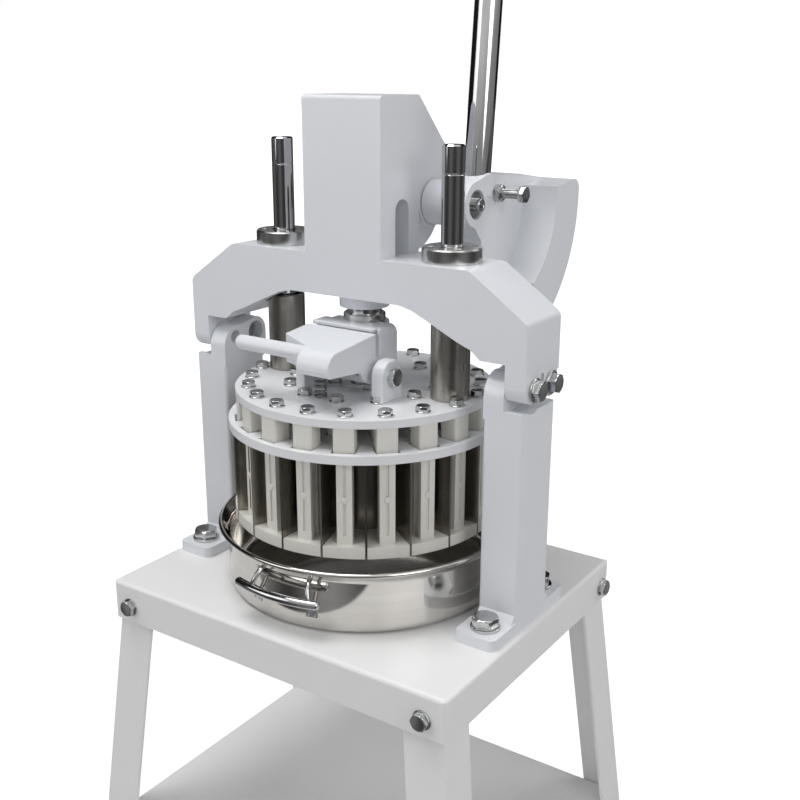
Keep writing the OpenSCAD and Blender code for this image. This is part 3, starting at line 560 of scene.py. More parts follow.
def washer(outer: float, inner: float, height: float, base: float = 0.0) -> Shell:
    """Flat washer with broken edges, as a closed turned ring."""
    c = min(0.3, height / 3)
    ring = [(inner, 0), (outer - c, 0), (outer, c), (outer, height - c), (outer - c, height),
            (inner, height), (inner, 0)]
    return revolve(np.array(ring, float) + [0, base], 40)


def thread(radius: float, low: float, high: float, pitch: float = 1.5) -> Shell:
    """Bolt end: the profile's radius goes in and out once for each pitch."""
    z = np.arange(low, high, pitch / 4)
    r = radius - 0.35 + 0.35 * np.sign(np.sin((z - low) * TAU / pitch + 0.1))
    ring = np.r_[[[0.0, low]], np.c_[r, z], [[radius - 1.0, high]], [[0.0, high]]]
    return revolve(ring, 32)


def joined(parts: list[Shell]) -> Shell:
    """Puts several shells of quads into one."""
    starts = np.cumsum([0] + [len(p.points) for p in parts[:-1]])
    return Shell(np.concatenate([p.points for p in parts]),
                 np.concatenate([p.faces + s for p, s in zip(parts, starts)]))


def arc(x: float, y: float, r: float, start: float, end: float, count: int = 9) -> np.ndarray:
    """Points of an arc: x + r cos a, y + r sin a, with a from start to end in degrees."""
    a = np.radians(np.linspace(start, end, count))
    return np.stack([x + r * np.cos(a), y + r * np.sin(a)], -1)


def prism(outline: np.ndarray, middle: tuple[float, float], low: float, high: float) -> Shell:
    """Extrudes a closed outline along Z; each cap is a fan about a middle point that sees all of it."""
    outline = np.asarray(outline, float)
    hub = np.tile(np.array(middle, float), (len(outline), 1))
    rows = ((hub, low), (outline, low), (outline, high), (hub, high))
    return Shell(np.concatenate([np.c_[row, np.full(len(row), z)] for row, z in rows]),
                 grid_faces(len(rows), len(outline)))


def box(low: tuple[float, float, float], high: tuple[float, float, float]) -> Shell:
    """Block from corner to corner."""
    (x0, y0, z0), (x1, y1, z1) = low, high
    return prism([[x0, y0], [x1, y0], [x1, y1], [x0, y1]], ((x0 + x1) / 2, (y0 + y1) / 2), z0, z1)


# Matrices that carry an outline's own axes to the row frame

ALONG_X = np.array([[0, 0, 1, 0], [1, 0, 0, 0], [0, 1, 0, TABLE_H], [0, 0, 0, 1]], float)[None]
ALONG_Y = np.array([[1, 0, 0, 0], [0, 0, -1, 0], [0, 1, 0, TABLE_H], [0, 0, 0, 1]], float)[None]
STANDING = np.array([[1, 0, 0, 0], [0, 1, 0, 0], [0, 0, 1, TABLE_H], [0, 0, 0, 1]], float)[None]


def turned(degrees: float) -> np.ndarray:
    """Matrix of a turn about Z."""
    return np.array(Matrix.Rotation(math.radians(degrees), 4, "Z"))


def places(points: np.ndarray, axis: str = "+Z", spins: np.ndarray | None = None) -> np.ndarray:
    """Matrices that stand a Z-up shell on points, with its axis along +Z, +X, -X, +Y or -Y.

    Args:
        points: array of k places in millimetres above the table top.
        axis: where the shell's own Z goes.
        spins: turn of each copy about its own axis, in radians.

    Returns:
        Array of k matrices, with the table's height added.
    """
    turn = {
        "+Z": Matrix.Identity(3),
        "+X": Matrix.Rotation(math.pi / 2, 3, "Y"),
        "-X": Matrix.Rotation(-math.pi / 2, 3, "Y"),
        "-Y": Matrix.Rotation(math.pi / 2, 3, "X"),
        "+Y": Matrix.Rotation(-math.pi / 2, 3, "X"),
    }[axis]
    points = np.atleast_2d(np.asarray(points, float))
    spins = np.zeros(len(points)) if spins is None else np.asarray(spins, float)
    spin = np.zeros((len(points), 3, 3))
    spin[:, 0, 0] = spin[:, 1, 1] = np.cos(spins)
    spin[:, 0, 1], spin[:, 1, 0] = -np.sin(spins), np.sin(spins)
    spin[:, 2, 2] = 1.0
    made = np.zeros((len(points), 4, 4))
    made[:, :3, :3] = np.array(turn)[None] @ spin
    made[:, :3, 3] = points + [0.0, 0.0, TABLE_H]
    made[:, 3, 3] = 1.0
    return made


@dataclass
class Workshop:
    """Makes pieces out of shells or of CAD nodes and puts them on their bodies."""

    paints: Paints

    def register(self, piece: bpy.types.Object, body: Body, finish: Finish, nodes: tuple[str, ...]) -> None:
        """Gives a piece its finish, body and the nodes it stands for."""
        piece.data.materials.clear()
        piece.data.materials.append(self.paints.get(finish))
        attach(piece, body.value)
        if nodes:
            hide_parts(*nodes)
        LOG.info("%s rides on %s", piece.name, body.value)

    def make(self, name: str, shell: Shell, body: Body, finish: Finish, nodes: tuple[str, ...] = (),
             sharp: float = 35.0, bevel: float = 0.0) -> bpy.types.Object:
        """Makes a piece from a shell.

        Args:
            name: name of the piece.
            shell: its surface in millimetres.
            body: the body it rides on.
            finish: its finish.
            nodes: CAD nodes that it stands for.
            sharp: edges above this angle in degrees stay sharp.
            bevel: width of a bevel in millimetres, or none.

        Returns:
            The piece.
        """
        return self.place(name, self.mesh(name, shell), body, finish, nodes, sharp, bevel)

    @staticmethod
    def mesh(name: str, shell: Shell) -> bpy.types.Mesh:
        """Makes a mesh from a shell, with its seams and poles closed."""
        mesh = bpy.data.meshes.new(name)
        mesh.from_pydata((shell.points * MM).tolist(), [], shell.faces.tolist())
        built = bmesh.new()
        built.from_mesh(mesh)
        bmesh.ops.remove_doubles(built, verts=built.verts, dist=1e-6)
        bmesh.ops.recalc_face_normals(built, faces=built.faces)
        built.to_mesh(mesh)
        built.free()
        return mesh

    @staticmethod
    def flattened(mesh: bpy.types.Mesh) -> bpy.types.Mesh:
        """Merges a mesh's seams and joins faces that lie in one plane."""
        built = bmesh.new()
        built.from_mesh(mesh)
        bmesh.ops.remove_doubles(built, verts=built.verts, dist=2e-6)
        bmesh.ops.dissolve_limit(built, angle_limit=math.radians(0.6), verts=built.verts,
                                 edges=built.edges, delimit=set())
        built.to_mesh(mesh)
        built.free()
        return mesh

    def carved(self, base: Shell | bpy.types.Mesh, steps: list) -> bpy.types.Mesh:
        """Solid after boolean steps, made at once so that no helper stays in the scene.

        Args:
            base: shell or mesh to start from.
            steps: pairs of an operation's name and the shell or mesh it works with.

        Returns:
            The resulting mesh.
        """
        helpers = []
        for source in (base, *(tool for _, tool in steps)):
            mesh = self.mesh("step", source) if isinstance(source, Shell) else source
            helpers.append(bpy.data.objects.new("step", mesh))
            bpy.context.scene.collection.objects.link(helpers[-1])
        for (operation, _), helper in zip(steps, helpers[1:]):
            step = helpers[0].modifiers.new("step", "BOOLEAN")
            step.operation, step.object, step.solver = operation, helper, "EXACT"
        graph = bpy.context.evaluated_depsgraph_get()
        mesh = bpy.data.meshes.new_from_object(helpers[0].evaluated_get(graph))
        for helper in helpers:
            bpy.data.objects.remove(helper)
        return self.flattened(mesh)

    def place(self, name: str, mesh: bpy.types.Mesh, body: Body, finish: Finish, nodes: tuple[str, ...],
              sharp: float, bevel: float) -> bpy.types.Object:
        """Shades a mesh, bevels it where asked and registers it."""
        mesh.shade_smooth()
        mesh.set_sharp_from_angle(angle=math.radians(sharp))
        piece = bpy.data.objects.new(name, mesh)
        bpy.context.scene.collection.objects.link(piece)
        if bevel > 0.0:
            cut = piece.modifiers.new("edges", "BEVEL")
            cut.width = bevel * MM
            cut.segments = 3
            cut.limit_method = "ANGLE"
            cut.angle_limit = math.radians(max(sharp, 30.0))
            cut.use_clamp_overlap = True
            cut.miter_outer = "MITER_ARC"
            level = piece.modifiers.new("normals", "WEIGHTED_NORMAL")
            level.keep_sharp = True
        self.register(piece, body, finish, nodes)
        return piece

    def soften(self, node: str, body: Body, finish: Finish, bevel: float, sharp: float = 32.0,
               steps: list | None = None) -> bpy.types.Object:
        """Copies a CAD node's mesh, merges it, and rounds its edges as casting or bending does.

        Args:
            node: the CAD node.
            body: the body it rides on.
            finish: its finish.
            bevel: width of the rounding in millimetres.
            sharp: edges above this angle in degrees are rounded.
            steps: boolean steps to make before the rounding.

        Returns:
            The piece that stands for the node.
        """
        mesh = self.flattened(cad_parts[node].data.copy())
        if steps:
            mesh = self.carved(mesh, steps)
        return self.place(node + "_skin", mesh, body, finish, (node,), sharp, bevel)

    def dress(self, body: Body, finish: Finish, *nodes: str) -> None:
        """Gives carried-over CAD nodes a finish."""
        for node in nodes:
            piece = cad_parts[node]
            piece.data.materials.clear()
            piece.data.materials.append(self.paints.get(finish))
            LOG.info("%s stays on %s", node, body.value)


@dataclass
class Fastener:
    """One size of hexagon bolt with its washer."""

    flats: float
    head: float
    washer_r: float
    washer_t: float
    shank: float

    def shell(self) -> Shell:
        """Washer and head standing on zero, with a short shank under them."""
        return joined([
            washer(self.washer_r, self.shank, self.washer_t),
            hex_head(self.flats, self.head, self.washer_t),
            cylinder(self.shank, -3.0, 0.4, 24),
        ])


@dataclass
class Stand:
    """Table, shelf, legs, columns and yoke."""

    shop: Workshop
    table_w: float = 430.0
    table_d: float = 355.0
    leg_bolt_x: float = 190.0
    leg_bolt_y: float = 158.6
    leg_bolt_z: float = -27.0
    front_nut_in: float = 11.2
    side_nut_in: float = 12.3
    column_x: float = 187.3
    foot_top: float = 12.0
    sheet_t: float = 2.5
    yoke_x: float = 209.6
    pin_x: float = 178.0
    pivot_y: float = 15.0
    lock_y: float = -19.0
    pivot_z: float = 249.0

    def build(self) -> None:
        """Builds every piece of the stand."""
        shop = self.shop
        shop.soften("table_plate", Body.STAND, Paints.SHEET, 0.5)
        shop.soften("shelf_tray", Body.STAND, Paints.SHEET, 0.4)
        for leg in ("leg_front_left", "leg_front_right", "leg_rear_left", "leg_rear_right"):
            shop.soften(leg, Body.STAND, Paints.SHEET, 0.8)
        for column in ("column_left", "column_right"):
            shop.soften(column, Body.STAND, Paints.CAST, 2.2)
        shop.soften("yoke", Body.STAND, Paints.CAST, 2.4)
        shop.soften("leg_pads", Body.STAND, Paints.RUBBER, 0.8)
        for ring in ("guide_ring_left", "guide_ring_right"):
            shop.soften(ring, Body.STAND, Paints.TURNED, 0.5)
        shop.dress(Body.STAND, Paints.BRONZE, "ram_bush", "shaft_bushes")
        self.leg_bolts()
        self.column_bolts()
        self.yoke_bolts()

    def leg_bolts(self) -> None:
        """Bolts through the table's flanges into the legs: two in front and one on each side."""
        m10 = Fastener(16, 6.4, 10, 1.6, 5).shell()
        nut = joined([hex_head(16, 8), thread(4.9, 7.5, 10.2)])
        side, front = self.table_w / 2, -self.table_d / 2
        x, y, z = self.leg_bolt_x, self.leg_bolt_y, self.leg_bolt_z
        behind, inside = front + self.front_nut_in, side - self.side_nut_in
        self.shop.make("leg_bolt_set", joined([
            m10.placed(places([[-x, front, z], [x, front, z]], "-Y", [0.3, 1.1])),
            m10.placed(places([[-side, y, z]], "-X", [0.2])),
            m10.placed(places([[side, y, z]], "+X", [0.7])),
            nut.placed(places([[-x, behind, z], [x, behind, z]], "+Y")),
            nut.placed(places([[-inside, y, z]], "+X")),
            nut.placed(places([[inside, y, z]], "-X")),
        ]), Body.STAND, Paints.ZINC, ("leg_bolts",))

    def column_bolts(self) -> None:
        """Bolts through the column feet, with washers and nuts under the table sheet."""
        m16 = Fastener(24, 10, 15, 3, 8).shell()
        lowered = np.array(Matrix.Translation((0, 0, -3)))
        flipped = lowered @ np.diag([1.0, -1.0, -1.0, 1.0])
        below = joined([washer(15, 8, 3, -3), hex_head(24, 13).placed(flipped[None]),
                        thread(8, -20.0, -12.5).placed(lowered[None])])
        spots = np.array([[s * self.column_x, y, 0.0] for s in (-1, 1) for y in (-60, 52)])
        self.shop.make("column_bolt_set", joined([
            m16.placed(places(spots + [0, 0, self.foot_top], "+Z", [0.1, 0.5, 0.35, 0.9])),
            below.placed(places(spots - [0, 0, self.sheet_t])),
        ]), Body.STAND, Paints.ZINC, ("column_bolts",))

    def yoke_bolts(self) -> None:
        """Pivot bolts and lock bolts of the yoke, each with its pin into the column."""
        m12 = Fastener(18, 7.5, 12, 2.5, 6).shell()
        x, z = self.yoke_x, self.pivot_z
        for name, node, y, spin, r in (
            ("pivot_bolt_set", "pivot_bolts", self.pivot_y, 0.2, 11.95),
            ("lock_bolt_set", "lock_bolts", self.lock_y, 0.6, 6.0),
        ):
            pin = revolve([[0, 0], [r - 0.6, 0], [r, 0.6], [r, 9.4], [5.5, 9.4], [5.5, 31.6], [0, 31.6]], 40)
            self.shop.make(name, joined([
                m12.placed(places([[x, y, z]], "+X", [spin])),
                m12.placed(places([[-x, y, z]], "-X", [spin + 0.3])),
                pin.placed(places([[self.pin_x, y, z]], "+X")),
                pin.placed(places([[-self.pin_x, y, z]], "-X")),
            ]), Body.STAND, Paints.ZINC, (node,))


@dataclass
class Lever:
    """Shaft, counterweight casting, rod and grip."""

    shop: Workshop
    foot: tuple[float, float, float] = (84.0, 82.3, 434.6)
    lean: float = 5.0
    rod_d: float = 28.0
    length: float = 520.0
    grip: float = 120.0
    shaft_y: float = 55.6
    shaft_z: float = 406.5
    weight_r: float = 153.0
    weight_turn: float = 7.0
    corner_r: float = 13.0
    cap_x: float = 96.0
    cap_t: float = 2.2
    stop_y: float = 94.5
    stop_z: float = 415.0

    def along(self) -> np.ndarray:
        """Matrix from the rod's own Z to the row frame."""
        turn = Matrix.Translation((self.foot[0], self.foot[1], self.foot[2] + TABLE_H))
        return np.array(turn @ Matrix.Rotation(-math.radians(self.lean), 4, "X"))[None]

    def hub_steps(self) -> list:
        """Cuts the socket flush with the hub's top and rounds the weight's upper outer corner."""
        above = [[53, 429.3], [80, 436.05], [145, 431.05], [145, 470], [53, 470]]
        flush = prism(above, (100, 450), 50, 120)
        turn, r = math.radians(self.weight_turn), self.corner_r
        out = np.array([math.cos(turn), math.sin(turn)])
        rise = np.array([-math.sin(turn), math.cos(turn)])
        tip = np.array([self.shaft_y, self.shaft_z]) + self.weight_r * out
        a = np.linspace(0.0, math.pi / 2, 12)[:, None]
        bend = tip - r * (out + rise) + r * (np.cos(a) * out + np.sin(a) * rise)
        corner = np.vstack([bend, [bend[-1] + 4 * rise, tip + 4 * (out + rise), bend[0] + 4 * out]])
        rounding = prism(corner, tuple(tip + 3 * (out + rise)), 60, 145)
        return [("DIFFERENCE", flush.placed(ALONG_X)), ("DIFFERENCE", rounding.placed(ALONG_X))]

    def build(self) -> None:
        """Builds every piece of the lever."""
        shop = self.shop
        shop.soften("lever_hub", Body.LEVER, Paints.CAST, 2.6, steps=self.hub_steps())
        shop.dress(Body.LEVER, Paints.DARK, "lever_shaft", "shaft_key", "shaft_collar", "pinion")
        self.bar()
        self.bolts()

    def bar(self) -> None:
        """Chromed bar and its ribbed hand grip, both leaning with the lever."""
        r, end, core = self.rod_d / 2, self.length, self.length + 100
        rod = revolve([[0, -12.7], [r - 1, -12.7], [r, -11.7], [r, end - 1], [r - 1, end], [9, end],
                       [9, core], [0, core]])
        self.shop.make("lever_bar", rod.placed(self.along()), Body.LEVER, Paints.CHROME, ("lever_rod",), 14.0)
        z = np.linspace(0, 1, 60)
        body = 16.2 + 1.3 * np.sin(math.pi * z) + 0.25 * np.cos(z * TAU * 9) * (z < 0.86)
        dome = np.sqrt(np.clip(1 - np.clip((z - 0.87) / 0.13, 0, 1) ** 2, 0, 1))
        skin = np.r_[[[9.05, 0.0]], np.c_[np.maximum(body * dome, 0), z * self.grip], [[0.0, self.grip]]]
        turn = self.along() @ np.array(Matrix.Translation((0, 0, end)))[None]
        self.shop.make("lever_handgrip", revolve(skin, 56).placed(turn), Body.LEVER, Paints.RUBBER,
                       ("lever_grip",))

    def bolts(self) -> None:
        """Socket screw on the hub, and the stop bolt with its nut."""
        shop, y, z = self.shop, self.shaft_y, self.shaft_z
        socket = revolve([[0, 0], [6.2, 0], [6.5, 0.3], [6.5, 7.4], [6.0, 7.8], [3.9, 7.8], [3.5, 7.4],
                          [3.5, 3], [0, 3]], 48)
        shop.make("hub_cap_screw", joined([
            washer(14, 3.8, self.cap_t).placed(places([[self.cap_x, y, z]], "+X")),
            socket.placed(places([[self.cap_x + self.cap_t, y, z]], "+X")),
        ]), Body.LEVER, Paints.ZINC, ("hub_screw",))
        bolt = joined([hex_head(16, 6.4, 0.6), washer(6.5, 5, 0.6), thread(4.95, -43.0, 0.2)])
        for name, node, shell, x, spin in (
            ("stop_bolt_bright", "stop_bolt", bolt, 128, 0.4),
            ("stop_nut_bright", "stop_nut", hex_head(16, 8), 100, 0.1),
        ):
            spot = places([[x, self.stop_y, self.stop_z]], "+X", [spin])
            shop.make(name, shell.placed(spot), Body.LEVER, Paints.ZINC, (node,))


@dataclass
class Head:
    """Ram, crosshead, guide rods, knife disc and blades."""

    shop: Workshop
    rod_x: float = 105.6
    rod_r: float = 11.3
    rod_foot: float = 186.6
    rod_line: float = 441.0
    rod_top: float = 469.0
    block_half: float = 41.0
    block_low: float = 242.0
    block_top: float = 287.0
    boss_r: float = 26.0
    collar_r: float = 22.0
    collar_bore: float = 17.9
    collar_top: float = 295.0

    def build(self) -> None:
        """Builds every piece of the head."""
        shop = self.shop
        shop.dress(Body.HEAD, Paints.CHROME, "ram")
        r, bore, low, high = self.collar_r, self.collar_bore, self.block_top, self.collar_top
        ring = [[bore, low], [r, low], [r, high - 0.8], [r - 0.8, high], [bore + 0.7, high],
                [bore, high - 0.6], [bore, low]]
        shop.make("ram_collar_turned", revolve(ring, 72).placed(STANDING), Body.HEAD, Paints.TURNED,
                  ("ram_collar",))
        self.block()
        shop.soften("knife_disc", Body.HEAD, Paints.PLATE, 0.8)
        shop.dress(Body.HEAD, Paints.BLADE, "ring_blades", "blades_outer", "blades_middle", "blades_inner")
        self.rods()

    def rods(self) -> None:
        """Turned guide rods: the profile has a fine line and a chamfer near the top."""
        r, foot, line, top = self.rod_r, self.rod_foot, self.rod_line, self.rod_top
        profile = [[0, foot], [r, foot], [r, line - 0.4], [r - 0.25, line], [r - 0.25, line + 1],
                   [r, line + 1.4], [r, top - 1.4], [r - 1.3, top], [0, top]]
        for side, x in (("left", -self.rod_x), ("right", self.rod_x)):
            shell = revolve(profile).placed(places([[x, 0, 0]]))
            self.shop.make("guide_rod_" + side + "_ground", shell, Body.HEAD, Paints.CHROME,
                           ("guide_rod_" + side,), 14.0)

    def block(self) -> None:
        """Cast block on the ram: a long rounded top, a boss round the ram and a plate for the hood."""
        half, low, top, r = self.block_half, self.block_low, self.block_top, 9.0
        front = np.vstack([[[half, low]], arc(half - r, top - r, r, 0, 90),
                           arc(r - half, top - r, r, 90, 180), [[-half, low]]])
        body = prism(front, (0, low + 15), -1.0, 30.5).placed(ALONG_Y)
        boss = cylinder(self.boss_r, low, top - 0.4, 72).placed(STANDING)
        solid = self.shop.carved(body, [("UNION", boss)])
        self.shop.place("crosshead_block", solid, Body.HEAD, Paints.CAST, ("crosshead", "oil_plug"),
                        30.0, 1.6)
        for name, lower, upper in (
            ("catch_plate", (1 - half, -37.5, top - 3), (half - 3.5, -16.0, top + 1.2)),
            ("catch_cheek", (half - 2.6, -33.0, top - 6), (half + 1.6, -17.0, top + 0.8)),
        ):
            self.shop.make(name, box(lower, upper).placed(STANDING), Body.HEAD, Paints.CAST, (), 30.0, 1.2)


@dataclass
class Presser:
    """Presser disc, plungers, tubes, bolts, spring and latch lugs."""

    shop: Workshop
    top: float = 219.3
    outer_r: float = 123.0
    middle_r: float = 79.0
    inner_r: float = 32.0
    outer_count: int = 20
    tube_r: float = 20.0
    tube_bore: float = 11.6
    tube_top: float = 303.0
    rod_x: float = 105.6
    mark_r: float = 134.0
    mark_z: float = 136.6

    def ring(self, count: int, radius: float) -> np.ndarray:
        """Middles of the cells of one ring, as points at height zero."""
        t = (np.arange(count) + 0.5) * TAU / count
        return np.stack([radius * np.cos(t), radius * np.sin(t), 0 * t], -1)

    def build(self) -> None:
        """Builds every piece of the presser."""
        shop = self.shop
        shop.soften("presser_disc", Body.PRESSER, Paints.PLATE, 0.9)
        for node in ("plungers_outer", "plungers_middle", "plungers_inner"):
            shop.soften(node, Body.PRESSER, Paints.NYLON, 0.6)
        self.marks()
        self.lugs()
        self.bolts()
        self.tubes()
        self.spring()
        pin = joined([
            Fastener(17, 6.4, 8.5, 0.6, 5).shell().placed(places([[64, HINGE_Y, HINGE_Z]], "+X", [0.5])),
            hex_head(17, 8).placed(places([[-46, HINGE_Y, HINGE_Z]], "-X")),
            cylinder(5, 0, 109, 32).placed(places([[-45, HINGE_Y, HINGE_Z]], "+X")),
        ])
        shop.make("latch_hinge_pin", pin, Body.PRESSER, Paints.ZINC, ("latch_pin",))

    def bolts(self) -> None:
        """Bolt heads on the disc, each turned a little differently."""
        outer = self.ring(self.outer_count, self.outer_r)
        beside_tubes = [0, 9, 10, 19]
        outer[beside_tubes] *= (self.outer_r + 5) / self.outer_r
        spots = np.vstack([outer, self.ring(12, self.middle_r), self.ring(4, self.inner_r)])
        spins = np.random.default_rng(7).uniform(0, TAU / 6, len(spots))
        m8 = Fastener(13, 5.3, 7.7, 1.5, 4).shell()
        self.shop.make("plunger_bolt_set", m8.placed(places(spots + [0, 0, self.top], "+Z", spins)),
                       Body.PRESSER, Paints.ZINC, ("plunger_bolts", "tie_bolts", "tie_springs"))

    def marks(self) -> None:
        """Small round moulding marks between the two slots of each outer plunger."""
        a = np.linspace(0, math.pi / 2, 7)
        dome = np.vstack([[[0, -0.6], [3.6, -0.6]], np.stack([3.6 * np.cos(a), 1.2 * np.sin(a)], -1)])
        place = Matrix.Translation((self.mark_r, 0, TABLE_H + self.mark_z))
        out = place @ Matrix.Rotation(math.pi / 2, 4, "Y")
        turns = [Matrix.Rotation((k + 0.5) * TAU / self.outer_count, 4, "Z") for k in range(self.outer_count)]
        shell = revolve(dome, 24).placed(np.array([np.array(turn @ out) for turn in turns]))
        self.shop.make("plunger_marks", shell, Body.PRESSER, Paints.NYLON, (), 50.0)

    def lugs(self) -> None:
        """Latch lugs: upright plates with a chamfered head."""
        foot = self.top - 0.4
        outline = [[-59.5, foot], [-58.8, 248], [-55.5, 255.5], [-47.5, 260.4], [-35, 260.4],
                   [-28.5, 254.5], [-26.2, 246], [-24.5, foot]]
        for side, low, high in (("left", -46.0, -34.0), ("right", 50.0, 64.0)):
            plate = prism(outline, (HINGE_Y, 240), low, high).placed(ALONG_X)
            self.shop.make("latch_lug_" + side + "_plate", plate, Body.PRESSER, Paints.CAST,
                           ("latch_lug_" + side,), 24.0, 1.5)

    def tubes(self) -> None:
        """Guide tubes: outside, rounded rim, and the bore down to the rod."""
        r, bore, low, high = self.tube_r, self.tube_bore, self.top, self.tube_top
        profile = [[bore, low], [r - 0.3, low], [r, low + 0.4], [r, high - 1.0], [r - 0.9, high],
                   [15.1, high], [14.3, high - 0.8], [14.3, high - 52], [bore, high - 54], [bore, low]]
        for side, x in (("left", -self.rod_x), ("right", self.rod_x)):
            shell = revolve(profile, 72).placed(places([[x, 0, 0]]))
            self.shop.make("guide_tube_" + side + "_drawn", shell, Body.PRESSER, Paints.TUBE,
                           ("guide_tube_" + side,))

    def spring(self) -> None:
        """Round wire spring under the hood, with a mesh of its own."""
        shell = coil(5.6, 0.95, self.top, self.top + 52.0, 11.0).placed(places([[-3, -72, 0]]))
        wire = self.shop.make("latch_spring_wire", shell, Body.PRESSER, Paints.DARK, ("latch_spring",), 60.0)
        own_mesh(wire)


@dataclass
class Latch:
    """Hinged hood with its nose and hand rod."""

    shop: Workshop
    half: float = 43.0
    wall: float = 4.5
    back: float = -40.0
    top: float = 284.5
    front: float = -119.0
    crown_r: float = 16.0
    crown_z: float = 262.6
    nose_x: float = 4.0
    rod_r: float = 7.6
    rod_length: float = 96.0

    def side(self, inset: float) -> np.ndarray:
        """Side view of the hood in Y and Z; with an inset it is the hollow, open below."""
        middle = self.front + self.crown_r
        crown = np.vstack([[[self.back - inset, self.top - inset]],
                           arc(middle, self.crown_z, self.crown_r - inset, 95, 180, 14)])
        if inset > 0.0:
            return np.vstack([crown, [[self.front + inset, 225], [self.back - inset, 225]]])
        return np.vstack([crown, [[self.front, 259.5], [-115, 254.6], [-66, 250], [-58, 238]],
                          arc(HINGE_Y, HINGE_Z, 11, 200, 359, 16), [[-31.5, 256], [self.back, 261]]])

    def plan(self, inset: float) -> Shell:
        """Upright block with the hood's top view: slanting front on the left, square nose on the right."""
        left, right, nose = -self.half + inset, self.half - inset, self.nose_x + inset
        outline = [[left, -20], [right, -20], [right, -125], [nose, -125],
                   [nose, -100 + inset], [left, -77 + inset]]
        return prism(outline, (10, -50), 200, 300).placed(STANDING)

    def build(self) -> None:
        """Builds the hood and the rod."""
        shop, half, wall = self.shop, self.half, self.wall
        outside = prism(self.side(0.0), (-50, 256), -half, half).placed(ALONG_X)
        inside = prism(self.side(wall), (-60, 250), wall - half, half - wall).placed(ALONG_X)
        hollow = shop.carved(inside, [("INTERSECT", self.plan(wall))])
        solid = shop.carved(outside, [("INTERSECT", self.plan(0.0)), ("DIFFERENCE", hollow)])
        shop.place("latch_hood", solid, Body.LATCH, Paints.CAST, ("latch_handle",), 30.0, 2.8)
        r = self.rod_r
        rod = np.vstack([[[0, 0], [r, 0]], arc(0, self.rod_length - r, r, 0, 90, 8)])
        shop.make("latch_hand_rod", revolve(rod, 40).placed(places([[9.0, -101.5, 271.5]], "-X")),
                  Body.LATCH, Paints.CAST, (), 30.0)


